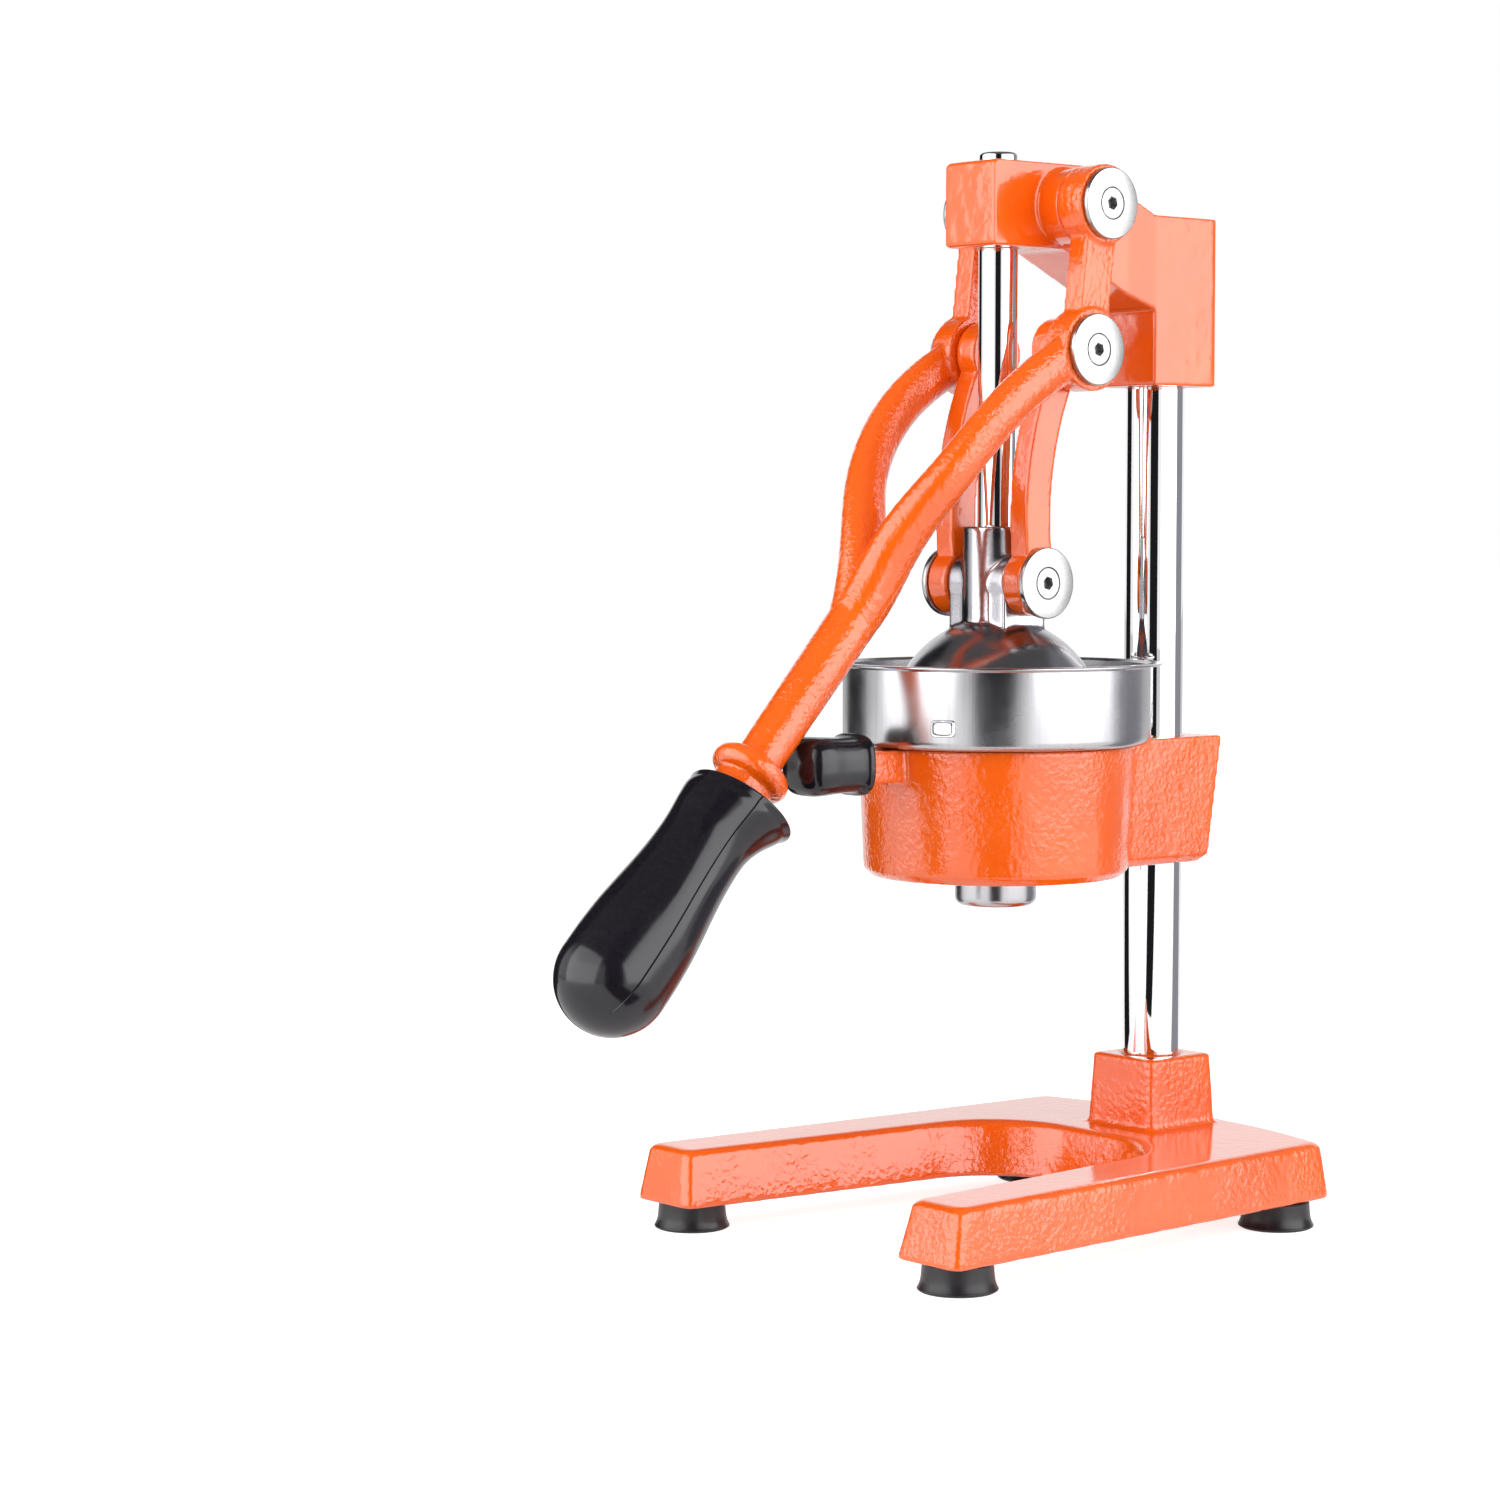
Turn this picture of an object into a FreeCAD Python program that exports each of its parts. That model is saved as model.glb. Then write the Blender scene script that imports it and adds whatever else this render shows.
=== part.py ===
"""Hand lever citrus press, modelled as an assembly of separate solids, one STEP file per node.

Sizes are in millimetres, with +Z up, -Y towards the user and X across; left is -X and right is +X.
The pieces are drawn with the vertical press axis at X = 0, Y = 0 and the feet on Z = 0, and are then
moved along Y, so that the origin is the middle of the whole outline at table level. The lever is
down, at the end of a squeeze.
"""
import FreeCAD, Part
import math
import os

V = FreeCAD.Vector

# ---- clearances -------------------------------------------------------------------------------
FIT = 0.02            # radial clearance between pieces that are fixed together
RUN = 0.05            # radial clearance of a bush on its pin or rod
SIDE = 0.3            # side gap between pieces that turn against each other

# ---- bowl carrier -----------------------------------------------------------------------------
CARRIER_H = 49.3
CARRIER_R = 49.6      # outer radius at the bottom
CARRIER_FLARE = 2.2   # growth of the radius to the top
CARRIER_WALL = 3.0
CARRIER_FLOOR = 5.0
CARRIER_EDGE = 3.0
CARRIER_GAP = 4.4     # its top below the dome's rim
CARRIER_CLAMP_WALL = 4.15   # clamp block's wall beside the column
CARRIER_BACK_WALL = 3.65    # its wall behind the column, at the bottom
CARRIER_SLOPE = 7.5   # how much further back the clamp block's top reaches
CARRIER_FILLET = 15.0
CARRIER_SCREW_UP = 24.0
ARM_HALF = 6.6        # steady arm
ARM_TALL = 11.8
ARM_UNDER = 0.1       # its top below the carrier's top
ARM_BACK = 7.0        # its tip behind the steady grip's front
STEADY_GAP = 0.8      # steady grip's front edge behind the lever's stem, along Y
STEADY_OFF = 20.6     # its back end in front of the carrier's wall
STEADY_HALF = 11.0
STEADY_TALL = 20.4
STEADY_DROP = 3.0     # its underside below the arm's
STEADY_BEVEL = 3.0
STEADY_LIP = 1.2

# ---- juice cup and strainer ---------------------------------------------------------------------
CUP_WALL = 1.0
CUP_OVER = 8.1        # cup's radius beyond the carrier's
CUP_H = 30.5          # from its shoulder to its rim
CUP_RIM = 4.2         # rim's width
CUP_CORNER = 2.0
CUP_COLUMN_GAP = 10.75   # rim to column
WELL_FIT = 0.6        # well's gap in the carrier
WELL_DEPTH = 17.0
SPOUT_R = 15.3
SPOUT_BELOW = 11.3    # its end below the carrier
SPOUT_NECK = 18.0     # its length
SPOUT_HOLE_R = 11.0
SPOUT_ROUND = 2.5
TAB_W, TAB_H, TAB_OUT = 9.5, 6.4, 0.8
TAB_UP = 8.3          # tab's middle above the shoulder
TAB_ANGLE = -62.8
TAB_COUNT = 3
STRAINER_GAP = 2.7    # strainer's edge inside the cup's wall
STRAINER_WALL = 1.0
REAMER_GAP = 9.5      # reamer's foot inside the dome's wall
REAMER_TOP_R = 6.0
REAMER_H = 30.0

# ---- column -----------------------------------------------------------------------------------
COL_R = 11.35
COL_FOOT = 14.0       # bottom of the column above the base's underside
COL_END = 28.0        # its top below the head's top
BOLT_R = 5.0
BOLT_HEAD_R = 8.0
BOLT_HEAD_H = 6.0
BOLT_IN = 24.0        # length of the bolt in the column
WASHER_R = 9.6
WASHER_H = 1.6

# ---- base casting -----------------------------------------------------------------------------
FOOT_H = 10.3         # underside of the base above the table
BASE_H = 21.3         # thickness of the base plate
BASE_FRONT_W = 89.9   # half width across the front ends of the legs, at the bottom
BASE_BACK_W = 78.0    # half width at the back corners
BASE_FRONT_Y = -102.5
BASE_CORNER = 18.5    # back corners behind the column's axis
BASE_CROWN = 30.5     # crown of the curved back edge behind the column's axis
BASE_BACK_R = 210.0   # its rounding
LEG_W = 32.5          # width of a leg's front end at the bottom
LEG_ROOT_W = 35.0     # width of a leg beside the bay's end
U_END = 38.0          # end of the bay ahead of the column's axis
U_FLAT = 7.0          # half length of the bay's flat end
DRAFT_OUT = 2.5       # slope of the outer sides, over the base's height
DRAFT_IN = 4.4
DRAFT_FRONT = 4.0
EDGE = 1.6            # broken top edge
PED_TOP_Z = 59.1      # top of the column's pedestal
PED_WALL = 5.05       # pedestal's wall round the column
PED_WALL_BACK = 6.05
PED_DRAFT = 1.5

# ---- feet -------------------------------------------------------------------------------------
FOOT_R = 14.3
FOOT_TOP_R = 12.6
FOOT_LIP = 1.4
FOOT_IN = (15.9, 15.2)   # front foot's centre from the leg's outer side and front end
FOOT_REAR_IN = 11.7      # rear foot's centre from the back corner's side
FOOT_SCREW_R = 2.5
FOOT_SCREW_HEAD_R = 4.6
FOOT_SCREW_HEAD_H = 2.6
FOOT_RECESS = 4.6     # depth of the screw head's recess
FOOT_SCREW_IN = 13.0  # length of the screw in the base

# ---- head casting -----------------------------------------------------------------------------
HEAD_TOP_Z = 400.0
HEAD_H = 31.7         # height of the nose
HEAD_HALF = 13.3      # half width of nose and web
NOSE_Y = -14.5
CROWN_Y = 41.0        # where the top starts to slope down
KNEE_Y = 22.0         # where the underside starts to slope down
CLAMP_WALL = 5.65     # clamp block's wall beside the column
CLAMP_WALL_FRONT = 6.25
CLAMP_WALL_BACK = 5.45
CLAMP_DROP = 16.8     # its top below the head's top
CLAMP_H = 64.4
WEB_DROP = 52.5       # underside of the web, where it meets the block, below the head's top
FLARE = 11.0          # length over which the web widens to the block
BOSS_R = 14.0
BOSS_SHORT = 1.4      # fulcrum boss's end inside the crank arms' inner faces
BUSH_WALL = 2.0       # wall of the guide bush
BUSH_INSET = 1.5
SET_SCREW_R = 4.0
HEAD_SCREW_IN = 17.2  # set screws from the block's top and bottom

# ---- pivots: fulcrum T on the head, crank M on the lever, lug L on the press ---------------------
T_Y = 20.9
T_DROP = 16.3         # fulcrum below the head's top
CRANK_AHEAD, CRANK_DROP = 6.55, 53.7   # crank pivot from the fulcrum
LINK_DROP = 85.85     # lug pivot below the crank pivot
PIN_R = 6.0
DISC_R = 13.15
DISC_H = 2.3
SCREW_HEAD_R = 6.9
SCREW_R = 3.0
SCREW_IN = 12.0
HEX_AF = 4.2
HEX_DEPTH = 2.4
EYE_BUSH_WALL = 2.0

# ---- lever ------------------------------------------------------------------------------------
T_EYE_R = 14.6
M_EYE_R = 15.2
EYE_T = 10.8          # thickness of the crank eye
CRANK_W = 14.5        # width of the short crank arm
CRANK_H = 9.4         # its thickness across X
# Arm of the fork, from the crank eye to the stem: distance inside the eye's outer face along X, Y and
# Z from the crank pivot, half width, half thickness.
ARM = (
    (5.0, -4.85, -0.7, 8.8, 5.0),
    (5.4, -28.35, -14.2, 8.5, 5.6),
    (8.4, -47.65, -31.4, 8.3, 6.3),
    (14.5, -60.15, -48.0, 8.4, 7.0),
    (23.5, -69.35, -64.0, 9.2, 7.6),
    (30.8, -76.55, -81.0, 9.8, 8.4),
    (35.8, -85.45, -98.0, 9.3, 8.9),
)
GRIP_AHEAD, GRIP_DROP = 195.85, 220.5   # centre of the grip's bulb from the crank pivot
STEM_TILT = 47.9                 # slope of the stem and the grip from the horizontal
STEM_LEN = 165.0                 # from the bulb's centre to the fork
STEM_R = 8.6
STEM_ROOT_R = 9.3
RING_AT = 92.0                   # collar ring from the bulb's centre
RING_R = 15.0
RING_ROUND = 4.4
NECK_R = 11.0
TANG_R = 7.0
TANG_END = 22.0
GRIP_MOUTH = 81.0
# Grip's outline: distance from the bulb's centre, radius.
GRIP_OUTLINE = ((81.0, 18.6), (78.5, 18.9), (70.0, 17.0), (56.0, 16.2), (38.0, 17.6), (20.0, 20.0))
BULB_R = 20.6

# ---- press ------------------------------------------------------------------------------------
ROD_R = 7.36
ROD_FOOT = 8.15       # its foot below the lug pivot
ROD_OVER = 3.6        # its top above the head's
TUBE_WALL = 5.44      # socket's wall round the rod
TUBE_UP = 20.85       # socket's top above the lug pivot
DOME_R = 40.0
DOME_WALL = 3.5
DOME_CROWN = 13.15    # dome's crown below the lug pivot
SKIRT = 3.0           # straight rim below the dome's centre
LUG_R = 11.2
LUG_WEB = 0.6         # web under the lug is this much narrower on each side
LUG_X = 15.3          # end face of the lug
LUG_PIN_GAP = 1.94    # lug pin's inner end from the rod

# ---- links ------------------------------------------------------------------------------------
LINK_T = 9.4          # thickness
LINK_HALF_W = 6.2
LINK_BOW = 7.9        # how far the link curves forward of its pivot line
LINK_EYE_R = 12.4

# ---- sizes that follow: heights ------------------------------------------------------------------
T_Z = HEAD_TOP_Z - T_DROP
M_Y, M_Z = T_Y - CRANK_AHEAD, T_Z - CRANK_DROP
L_Z = M_Z - LINK_DROP
GRIP_Y, GRIP_Z = M_Y - GRIP_AHEAD, M_Z - GRIP_DROP
HEAD_LOW_Z = HEAD_TOP_Z - HEAD_H
CLAMP_TOP_Z = HEAD_TOP_Z - CLAMP_DROP
CLAMP_BOTTOM_Z = CLAMP_TOP_Z - CLAMP_H
WEB_LOW_Z = HEAD_TOP_Z - WEB_DROP
HEAD_SCREW_Z = (CLAMP_BOTTOM_Z + HEAD_SCREW_IN, CLAMP_TOP_Z - HEAD_SCREW_IN)
ROD_FOOT_Z = L_Z - ROD_FOOT
ROD_TOP_Z = HEAD_TOP_Z + ROD_OVER
TUBE_TOP_Z = L_Z + TUBE_UP
DOME_Z = L_Z - DOME_CROWN - DOME_R   # centre of the dome
CARRIER_TOP_Z = DOME_Z - SKIRT - CARRIER_GAP
CARRIER_Z = CARRIER_TOP_Z - CARRIER_H
SHOULDER_Z = CARRIER_TOP_Z + SIDE
CUP_TOP_Z = SHOULDER_Z + CUP_H
TAB_Z = SHOULDER_Z + TAB_UP
SPOUT_Z = CARRIER_Z - SPOUT_BELOW
SPOUT_TOP_Z = SPOUT_Z + SPOUT_NECK
ARM_LOW_Z = CARRIER_TOP_Z - ARM_UNDER - ARM_TALL
STEADY_TOP_Z = ARM_LOW_Z - STEADY_DROP + STEADY_TALL
BASE_TOP_Z = FOOT_H + BASE_H
COL_FOOT_Z = FOOT_H + COL_FOOT
COL_TOP_Z = HEAD_TOP_Z - COL_END

# ---- sizes that follow: bowl and column ----------------------------------------------------------
CUP_R = CARRIER_R + CUP_OVER
CUP_RIM_R = CUP_R + CUP_RIM
WELL_R = CARRIER_R - CARRIER_WALL - WELL_FIT
STRAINER_R = CUP_R - CUP_WALL - STRAINER_GAP
REAMER_R = DOME_R - DOME_WALL - REAMER_GAP
TUBE_R = ROD_R + TUBE_WALL
BUSH_R = ROD_R + RUN + BUSH_WALL
COL_Y = CUP_RIM_R + CUP_COLUMN_GAP + COL_R
CLAMP_HALF = COL_R + CLAMP_WALL
CLAMP_FRONT_Y = COL_Y - COL_R - CLAMP_WALL_FRONT
CLAMP_BACK_Y = COL_Y + COL_R + CLAMP_WALL_BACK
CARRIER_CLAMP = COL_R + CARRIER_CLAMP_WALL    # half width of the block on the column
CARRIER_BACK = COL_R + CARRIER_BACK_WALL      # block behind the column's axis, at the bottom
PED_HALF = COL_R + PED_WALL
PED_BACK = COL_R + PED_WALL_BACK
BASE_CORNER_Y = COL_Y + BASE_CORNER
BASE_BACK_Y = COL_Y + BASE_CROWN
U_END_Y = COL_Y - U_END
U_END_W = BASE_BACK_W - LEG_ROOT_W
U_CORNER_R = U_END_W - U_FLAT
FOOT_FRONT = (BASE_FRONT_W - FOOT_IN[0], BASE_FRONT_Y + FOOT_IN[1])
FOOT_REAR = (BASE_BACK_W - FOOT_REAR_IN, COL_Y)

# ---- sizes that follow: across the pivots ----------------------------------------------------------
LINK_X = LUG_X + SIDE
LINK_OUT = LINK_X + LINK_T
LUG_FACE_X = LINK_OUT + SIDE + DISC_H     # outer face of the lug discs
M_EYE_IN = LINK_OUT + 2 * SIDE
EYE_OUT = M_EYE_IN + EYE_T
AXLE_END = EYE_OUT + SIDE
DISC_FACE_X = AXLE_END + DISC_H           # outer face of the fulcrum and crank discs
BOSS_X = M_EYE_IN - BOSS_SHORT            # end of the fulcrum boss
T_EYE_IN = BOSS_X + SIDE + 0.1
EYE_BUSH_R = PIN_R + RUN + EYE_BUSH_WALL
LUG_PIN_X = ROD_R + LUG_PIN_GAP

# ---- sizes that follow: steady grip ----------------------------------------------------------------
STEM_RISE = math.radians(STEM_TILT)
STEM_BACK_Y = (GRIP_Y + (STEADY_TOP_Z - STEADY_BEVEL - GRIP_Z) / math.tan(STEM_RISE)
               + STEM_ROOT_R / math.sin(STEM_RISE))   # stem's near side, level with the grip's top
STEADY_Y = (STEM_BACK_Y + STEADY_GAP, -CARRIER_R - STEADY_OFF)
ARM_TIP_Y = STEADY_Y[0] + ARM_BACK

SIDES = (("left", -1), ("right", 1))
ORIGIN_Y = (BASE_BACK_Y + GRIP_Y - BULB_R) / 2   # middle of the whole outline

nodes = {}


# ---- helpers ------------------------------------------------------------------------------------
def tube(radius, start, end):
    """Cylinder between two points."""
    axis = end - start
    return Part.makeCylinder(radius, axis.Length, start, axis)


def across(radius, x0, x1, y, z):
    """Cylinder along X between x0 and x1."""
    low, high = sorted((x0, x1))
    return tube(radius, V(low, y, z), V(high, y, z))


def upright(radius, z0, z1, x=0.0, y=0.0):
    """Cylinder along Z between z0 and z1."""
    return tube(radius, V(x, y, z0), V(x, y, z1))


def block(x0, x1, y0, y1, z0, z1):
    """Box between two corners, given in any order along X."""
    low, high = sorted((x0, x1))
    return Part.makeBox(high - low, y1 - y0, z1 - z0, V(low, y0, z0))


def turned(profile, start, axis):
    """Solid of revolution of a closed (distance along the axis, radius) outline."""
    direction = V(axis).normalize()
    side = direction.cross(V(1, 0, 0))
    if side.Length < 0.1:
        side = direction.cross(V(0, 1, 0))
    side.normalize()
    points = [start + direction * along + side * radius for along, radius in profile]
    face = Part.Face(Part.makePolygon(points + [points[0]]))
    return face.revolve(start, direction, 360)


def rounded_wire(corners, z):
    """Closed outline at height z from (x, y, corner radius), with arcs at the corners."""
    count = len(corners)
    stops = []
    for index, (x, y, radius) in enumerate(corners):
        here = V(x, y, z)
        before = (V(*corners[index - 1][:2], z) - here).normalize()
        after = (V(*corners[(index + 1) % count][:2], z) - here).normalize()
        half = before.getAngle(after) / 2
        reach = radius / math.tan(half)
        bisector = (before + after).normalize()
        middle = here + bisector * (radius / math.sin(half) - radius)
        stops.append((here + before * reach, middle, here + after * reach))
    edges = []
    for index, (start, middle, end) in enumerate(stops):
        edges.append(Part.Arc(start, middle, end).toShape())
        edges.append(Part.LineSegment(end, stops[(index + 1) % count][0]).toShape())
    return Part.Wire(edges)


def stack(wires):
    """Straight-sided solid through outlines that have the same edges."""
    return Part.makeLoft(wires, True, True)


def fused(first, *others):
    """Union of solids, without the seams left between them."""
    return first.multiFuse(list(others)).removeSplitter()


# ---- base ---------------------------------------------------------------------------------------
def base_outline(rise, inset, z):
    """Outline of the U-shaped base; rise is 0 at the bottom and 1 at the top."""
    out = DRAFT_OUT * rise + inset
    front = BASE_FRONT_Y + DRAFT_FRONT * rise + inset
    grow = DRAFT_IN * rise + inset
    bay = BASE_FRONT_W - LEG_W + grow
    end_w = U_END_W + grow
    end_y = U_END_Y + grow
    half = [(BASE_FRONT_W - out, front, 3.5), (BASE_BACK_W - out, BASE_CORNER_Y - out, 6.0),
            (BASE_BACK_W * 0.4, BASE_BACK_Y - out, BASE_BACK_R)]
    left = [(-x, y, radius) for x, y, radius in half]
    bay_half = [(end_w, end_y, U_CORNER_R), (bay, front, 3.5)]
    bay_left = [(-x, y, radius) for x, y, radius in bay_half]
    return rounded_wire(left + half[::-1] + bay_half[::-1] + bay_left, z)


def pedestal_outline(grow, z):
    """Outline of the column's pedestal."""
    half = PED_HALF + grow
    back = COL_Y + PED_BACK + grow
    front = COL_Y - PED_HALF - grow
    return rounded_wire(((-half, front, 2.5), (-half, back, 2.5), (half, back, 2.5), (half, front, 2.5)), z)


def make_base():
    """U-shaped base casting with the column's pedestal."""
    share = 1 - EDGE / BASE_H
    plate = stack([base_outline(0, 0, FOOT_H), base_outline(share, 0, BASE_TOP_Z - EDGE),
                   base_outline(1, EDGE, BASE_TOP_Z)])
    pedestal = stack([pedestal_outline(PED_DRAFT, BASE_TOP_Z - 2), pedestal_outline(0, PED_TOP_Z)])
    body = fused(plate, pedestal)
    holes = [upright(COL_R + FIT, COL_FOOT_Z, PED_TOP_Z + 1, 0, COL_Y),
             upright(BOLT_R + FIT, FOOT_H - 1, COL_FOOT_Z + 1, 0, COL_Y),
             upright(WASHER_R + 0.4, FOOT_H - 1, FOOT_H + BOLT_HEAD_H + WASHER_H, 0, COL_Y)]
    for x, y in foot_places():
        holes.append(upright(FOOT_SCREW_R + FIT, FOOT_H - 1, FOOT_H + FOOT_SCREW_IN + 0.5, x, y))
    nodes["base_casting"] = body.cut(Part.makeCompound(holes))


def foot_places():
    """Centres of the four feet: front left, front right, rear left, rear right."""
    return [(side * x, y) for x, y in (FOOT_FRONT, FOOT_REAR) for side in (-1, 1)]


def make_feet():
    """Four rubber feet and the screws that hold them."""
    names = ("foot_front_left", "foot_front_right", "foot_rear_left", "foot_rear_right")
    screws = []
    for name, (x, y) in zip(names, foot_places()):
        outline = ((0, FOOT_SCREW_HEAD_R + 0.6), (0, FOOT_R), (FOOT_LIP, FOOT_R),
                   (FOOT_LIP + 1, FOOT_R - 0.8), (FOOT_H, FOOT_TOP_R), (FOOT_H, FOOT_SCREW_R + FIT),
                   (FOOT_RECESS, FOOT_SCREW_R + FIT), (FOOT_RECESS, FOOT_SCREW_HEAD_R + 0.6))
        nodes[name] = turned(outline, V(x, y, 0), V(0, 0, 1))
        head = upright(FOOT_SCREW_HEAD_R, FOOT_RECESS - FOOT_SCREW_HEAD_H, FOOT_RECESS, x, y)
        shank = upright(FOOT_SCREW_R, FOOT_RECESS, FOOT_H + FOOT_SCREW_IN, x, y)
        slot_z = FOOT_RECESS - FOOT_SCREW_HEAD_H
        slot = block(x - FOOT_SCREW_HEAD_R, x + FOOT_SCREW_HEAD_R, y - 0.5, y + 0.5, slot_z - 1, slot_z + 1)
        screws.append(fused(head, shank).cut(slot))
    nodes["foot_screws"] = Part.makeCompound(screws)


# ---- column --------------------------------------------------------------------------------------
def make_column():
    """Chromed column, and the bolt and washer that pull it into the base."""
    bolt_hole = upright(BOLT_R + FIT, COL_FOOT_Z - 1, COL_FOOT_Z + BOLT_IN + 1, 0, COL_Y)
    nodes["column"] = upright(COL_R, COL_FOOT_Z, COL_TOP_Z, 0, COL_Y).cut(bolt_hole)
    seat = FOOT_H + BOLT_HEAD_H
    hexagon = hex_prism(2 * BOLT_HEAD_R * math.cos(math.pi / 6), V(0, COL_Y, FOOT_H), V(0, 0, BOLT_HEAD_H))
    shank = upright(BOLT_R, seat, COL_FOOT_Z + BOLT_IN, 0, COL_Y)
    nodes["column_bolt"] = fused(hexagon, shank)
    washer = upright(WASHER_R, seat, seat + WASHER_H, 0, COL_Y)
    nodes["column_washer"] = washer.cut(upright(BOLT_R + FIT, seat - 1, seat + WASHER_H + 1, 0, COL_Y))


def hex_prism(across_flats, start, axis):
    """Hexagonal prism along an axis."""
    direction = V(axis).normalize()
    first = direction.cross(V(0, 1, 0))
    if first.Length < 0.1:
        first = direction.cross(V(1, 0, 0))
    first.normalize()
    second = direction.cross(first)
    radius = across_flats / math.sqrt(3)
    corners = [start + first * (radius * math.cos(math.radians(60 * k)))
               + second * (radius * math.sin(math.radians(60 * k))) for k in range(6)]
    return Part.Face(Part.makePolygon(corners + [corners[0]])).extrude(axis)


# ---- head ----------------------------------------------------------------------------------------
def side_plate(points, half):
    """Prism of a (Y, Z) outline, centred on X = 0."""
    corners = [V(-half, y, z) for y, z in points]
    return Part.Face(Part.makePolygon(corners + [corners[0]])).extrude(V(2 * half, 0, 0))


def web_span(y):
    """Lower and upper height of the web at a Y place."""
    low = HEAD_LOW_Z + (WEB_LOW_Z - HEAD_LOW_Z) * (y - KNEE_Y) / (CLAMP_FRONT_Y - KNEE_Y)
    high = HEAD_TOP_Z + (CLAMP_TOP_Z - HEAD_TOP_Z) * (y - CROWN_Y) / (CLAMP_FRONT_Y - CROWN_Y)
    return low, high


def flare_wire(y, half):
    """Cross section of the web at a Y place."""
    low, high = web_span(y)
    return Part.makePolygon([V(-half, y, low), V(half, y, low), V(half, y, high), V(-half, y, high),
                             V(-half, y, low)])


def make_head():
    """Head casting: nose with the rod's guide, fulcrum bosses, web and the block on the column."""
    web_end = CLAMP_FRONT_Y + 2
    low, high = web_span(web_end)
    nose = side_plate(((NOSE_Y, HEAD_LOW_Z), (NOSE_Y, HEAD_TOP_Z), (CROWN_Y, HEAD_TOP_Z), (web_end, high),
                       (web_end, low), (KNEE_Y, HEAD_LOW_Z)), HEAD_HALF)
    nose = nose.makeChamfer(1.2, [edge for edge in nose.Edges if along_x(edge)])
    flare = stack([flare_wire(CLAMP_FRONT_Y - FLARE, HEAD_HALF), flare_wire(CLAMP_FRONT_Y, CLAMP_HALF)])
    clamp = block(-CLAMP_HALF, CLAMP_HALF, CLAMP_FRONT_Y, CLAMP_BACK_Y, CLAMP_BOTTOM_Z, CLAMP_TOP_Z)
    clamp = clamp.makeFillet(2.5, [edge for edge in clamp.Edges
                                   if edge.CenterOfMass.y > CLAMP_BACK_Y - 1 and not along_x(edge)])
    boss = across(BOSS_R, -BOSS_X, BOSS_X, T_Y, T_Z)
    body = fused(nose, flare, clamp, boss)
    holes = [upright(COL_R + FIT, CLAMP_BOTTOM_Z - 1, COL_TOP_Z, 0, COL_Y),
             upright(BUSH_R + FIT, HEAD_LOW_Z + BUSH_INSET, HEAD_TOP_Z - BUSH_INSET),
             upright(ROD_R + 0.4, HEAD_LOW_Z - 1, HEAD_TOP_Z + 1),
             across(PIN_R + FIT, -BOSS_X - 1, BOSS_X + 1, T_Y, T_Z)]
    holes += [set_screw_hole(z, CLAMP_BACK_Y) for z in HEAD_SCREW_Z]
    nodes["head_casting"] = body.cut(Part.makeCompound(holes))
    bush = upright(BUSH_R, HEAD_LOW_Z + BUSH_INSET, HEAD_TOP_Z - BUSH_INSET)
    nodes["guide_bush"] = bush.cut(upright(ROD_R + RUN, HEAD_LOW_Z, HEAD_TOP_Z))
    nodes["head_set_screws"] = Part.makeCompound([set_screw(z, CLAMP_BACK_Y) for z in HEAD_SCREW_Z])


def along_x(edge):
    """True for a straight edge that runs across the press."""
    ends = [vertex.Point for vertex in edge.Vertexes]
    return len(ends) == 2 and abs(ends[1].y - ends[0].y) < 1e-6 and abs(ends[1].z - ends[0].z) < 1e-6


def set_screw_hole(z, back_y):
    """Tapped hole from the back of a clamp block to the column."""
    return tube(SET_SCREW_R + FIT, V(0, COL_Y + COL_R - 1, z), V(0, back_y + 9, z))


def set_screw(z, back_y):
    """Socket set screw that bears on the column, its end just below the block's back."""
    start = COL_Y + COL_R + FIT
    end = back_y - 0.6
    screw = tube(SET_SCREW_R, V(0, start, z), V(0, end, z))
    return screw.cut(hex_prism(4.0, V(0, end + 1, z), V(0, -3.5, 0)))


# ---- pins, discs and screws -----------------------------------------------------------------------
def screw_body(face_x, side, grow=0.0):
    """Countersunk screw with its head flush with face_x, along X; grow makes its cutter."""
    cone = Part.makeCone(SCREW_HEAD_R + grow, SCREW_R + grow, SCREW_HEAD_R - SCREW_R,
                         V(side * (face_x - 0.1), 0, 0), V(-side, 0, 0))
    shank = across(SCREW_R + grow, side * (face_x - 3), side * (face_x - 0.1 - SCREW_IN - 4 * grow), 0, 0)
    return fused(cone, shank)


def placed(shape, y, z):
    """Copy of a shape moved to a pivot."""
    return shape.translated(V(0, y, z))


def pivot_hardware(name, face_x, y, z):
    """Disc and countersunk socket screw on each side of a pivot."""
    for label, side in SIDES:
        cutter = screw_body(face_x, side, FIT)
        lead = across(SCREW_HEAD_R + FIT, side * (face_x - 0.11), side * (face_x + 1), 0, 0)
        disc = across(DISC_R, side * (face_x - DISC_H), side * face_x, 0, 0).cut(cutter).cut(lead)
        screw = screw_body(face_x, side)
        socket = hex_prism(HEX_AF, V(side * (face_x + 1), 0, 0), V(-side * (1.1 + HEX_DEPTH), 0, 0))
        nodes[f"{name}_disc_{label}"] = placed(disc, y, z)
        nodes[f"{name}_screw_{label}"] = placed(screw.cut(socket), y, z)


def make_fulcrum():
    """Axle through the head, which the lever turns on."""
    axle = across(PIN_R, -AXLE_END, AXLE_END, 0, 0)
    for _, side in SIDES:
        axle = axle.cut(screw_body(DISC_FACE_X, side, FIT))
    nodes["fulcrum_axle"] = placed(axle, T_Y, T_Z)
    pivot_hardware("fulcrum", DISC_FACE_X, T_Y, T_Z)


def bush(inner, outer, x0, x1, y, z):
    """Plain bush along X."""
    return across(outer, x0, x1, y, z).cut(across(inner, x0 - 1, x1 + 1, y, z))


# ---- lever ----------------------------------------------------------------------------------------
def stem_axis():
    """Direction from the bulb's centre up the stem."""
    return V(0, math.cos(STEM_RISE), math.sin(STEM_RISE))


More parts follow.
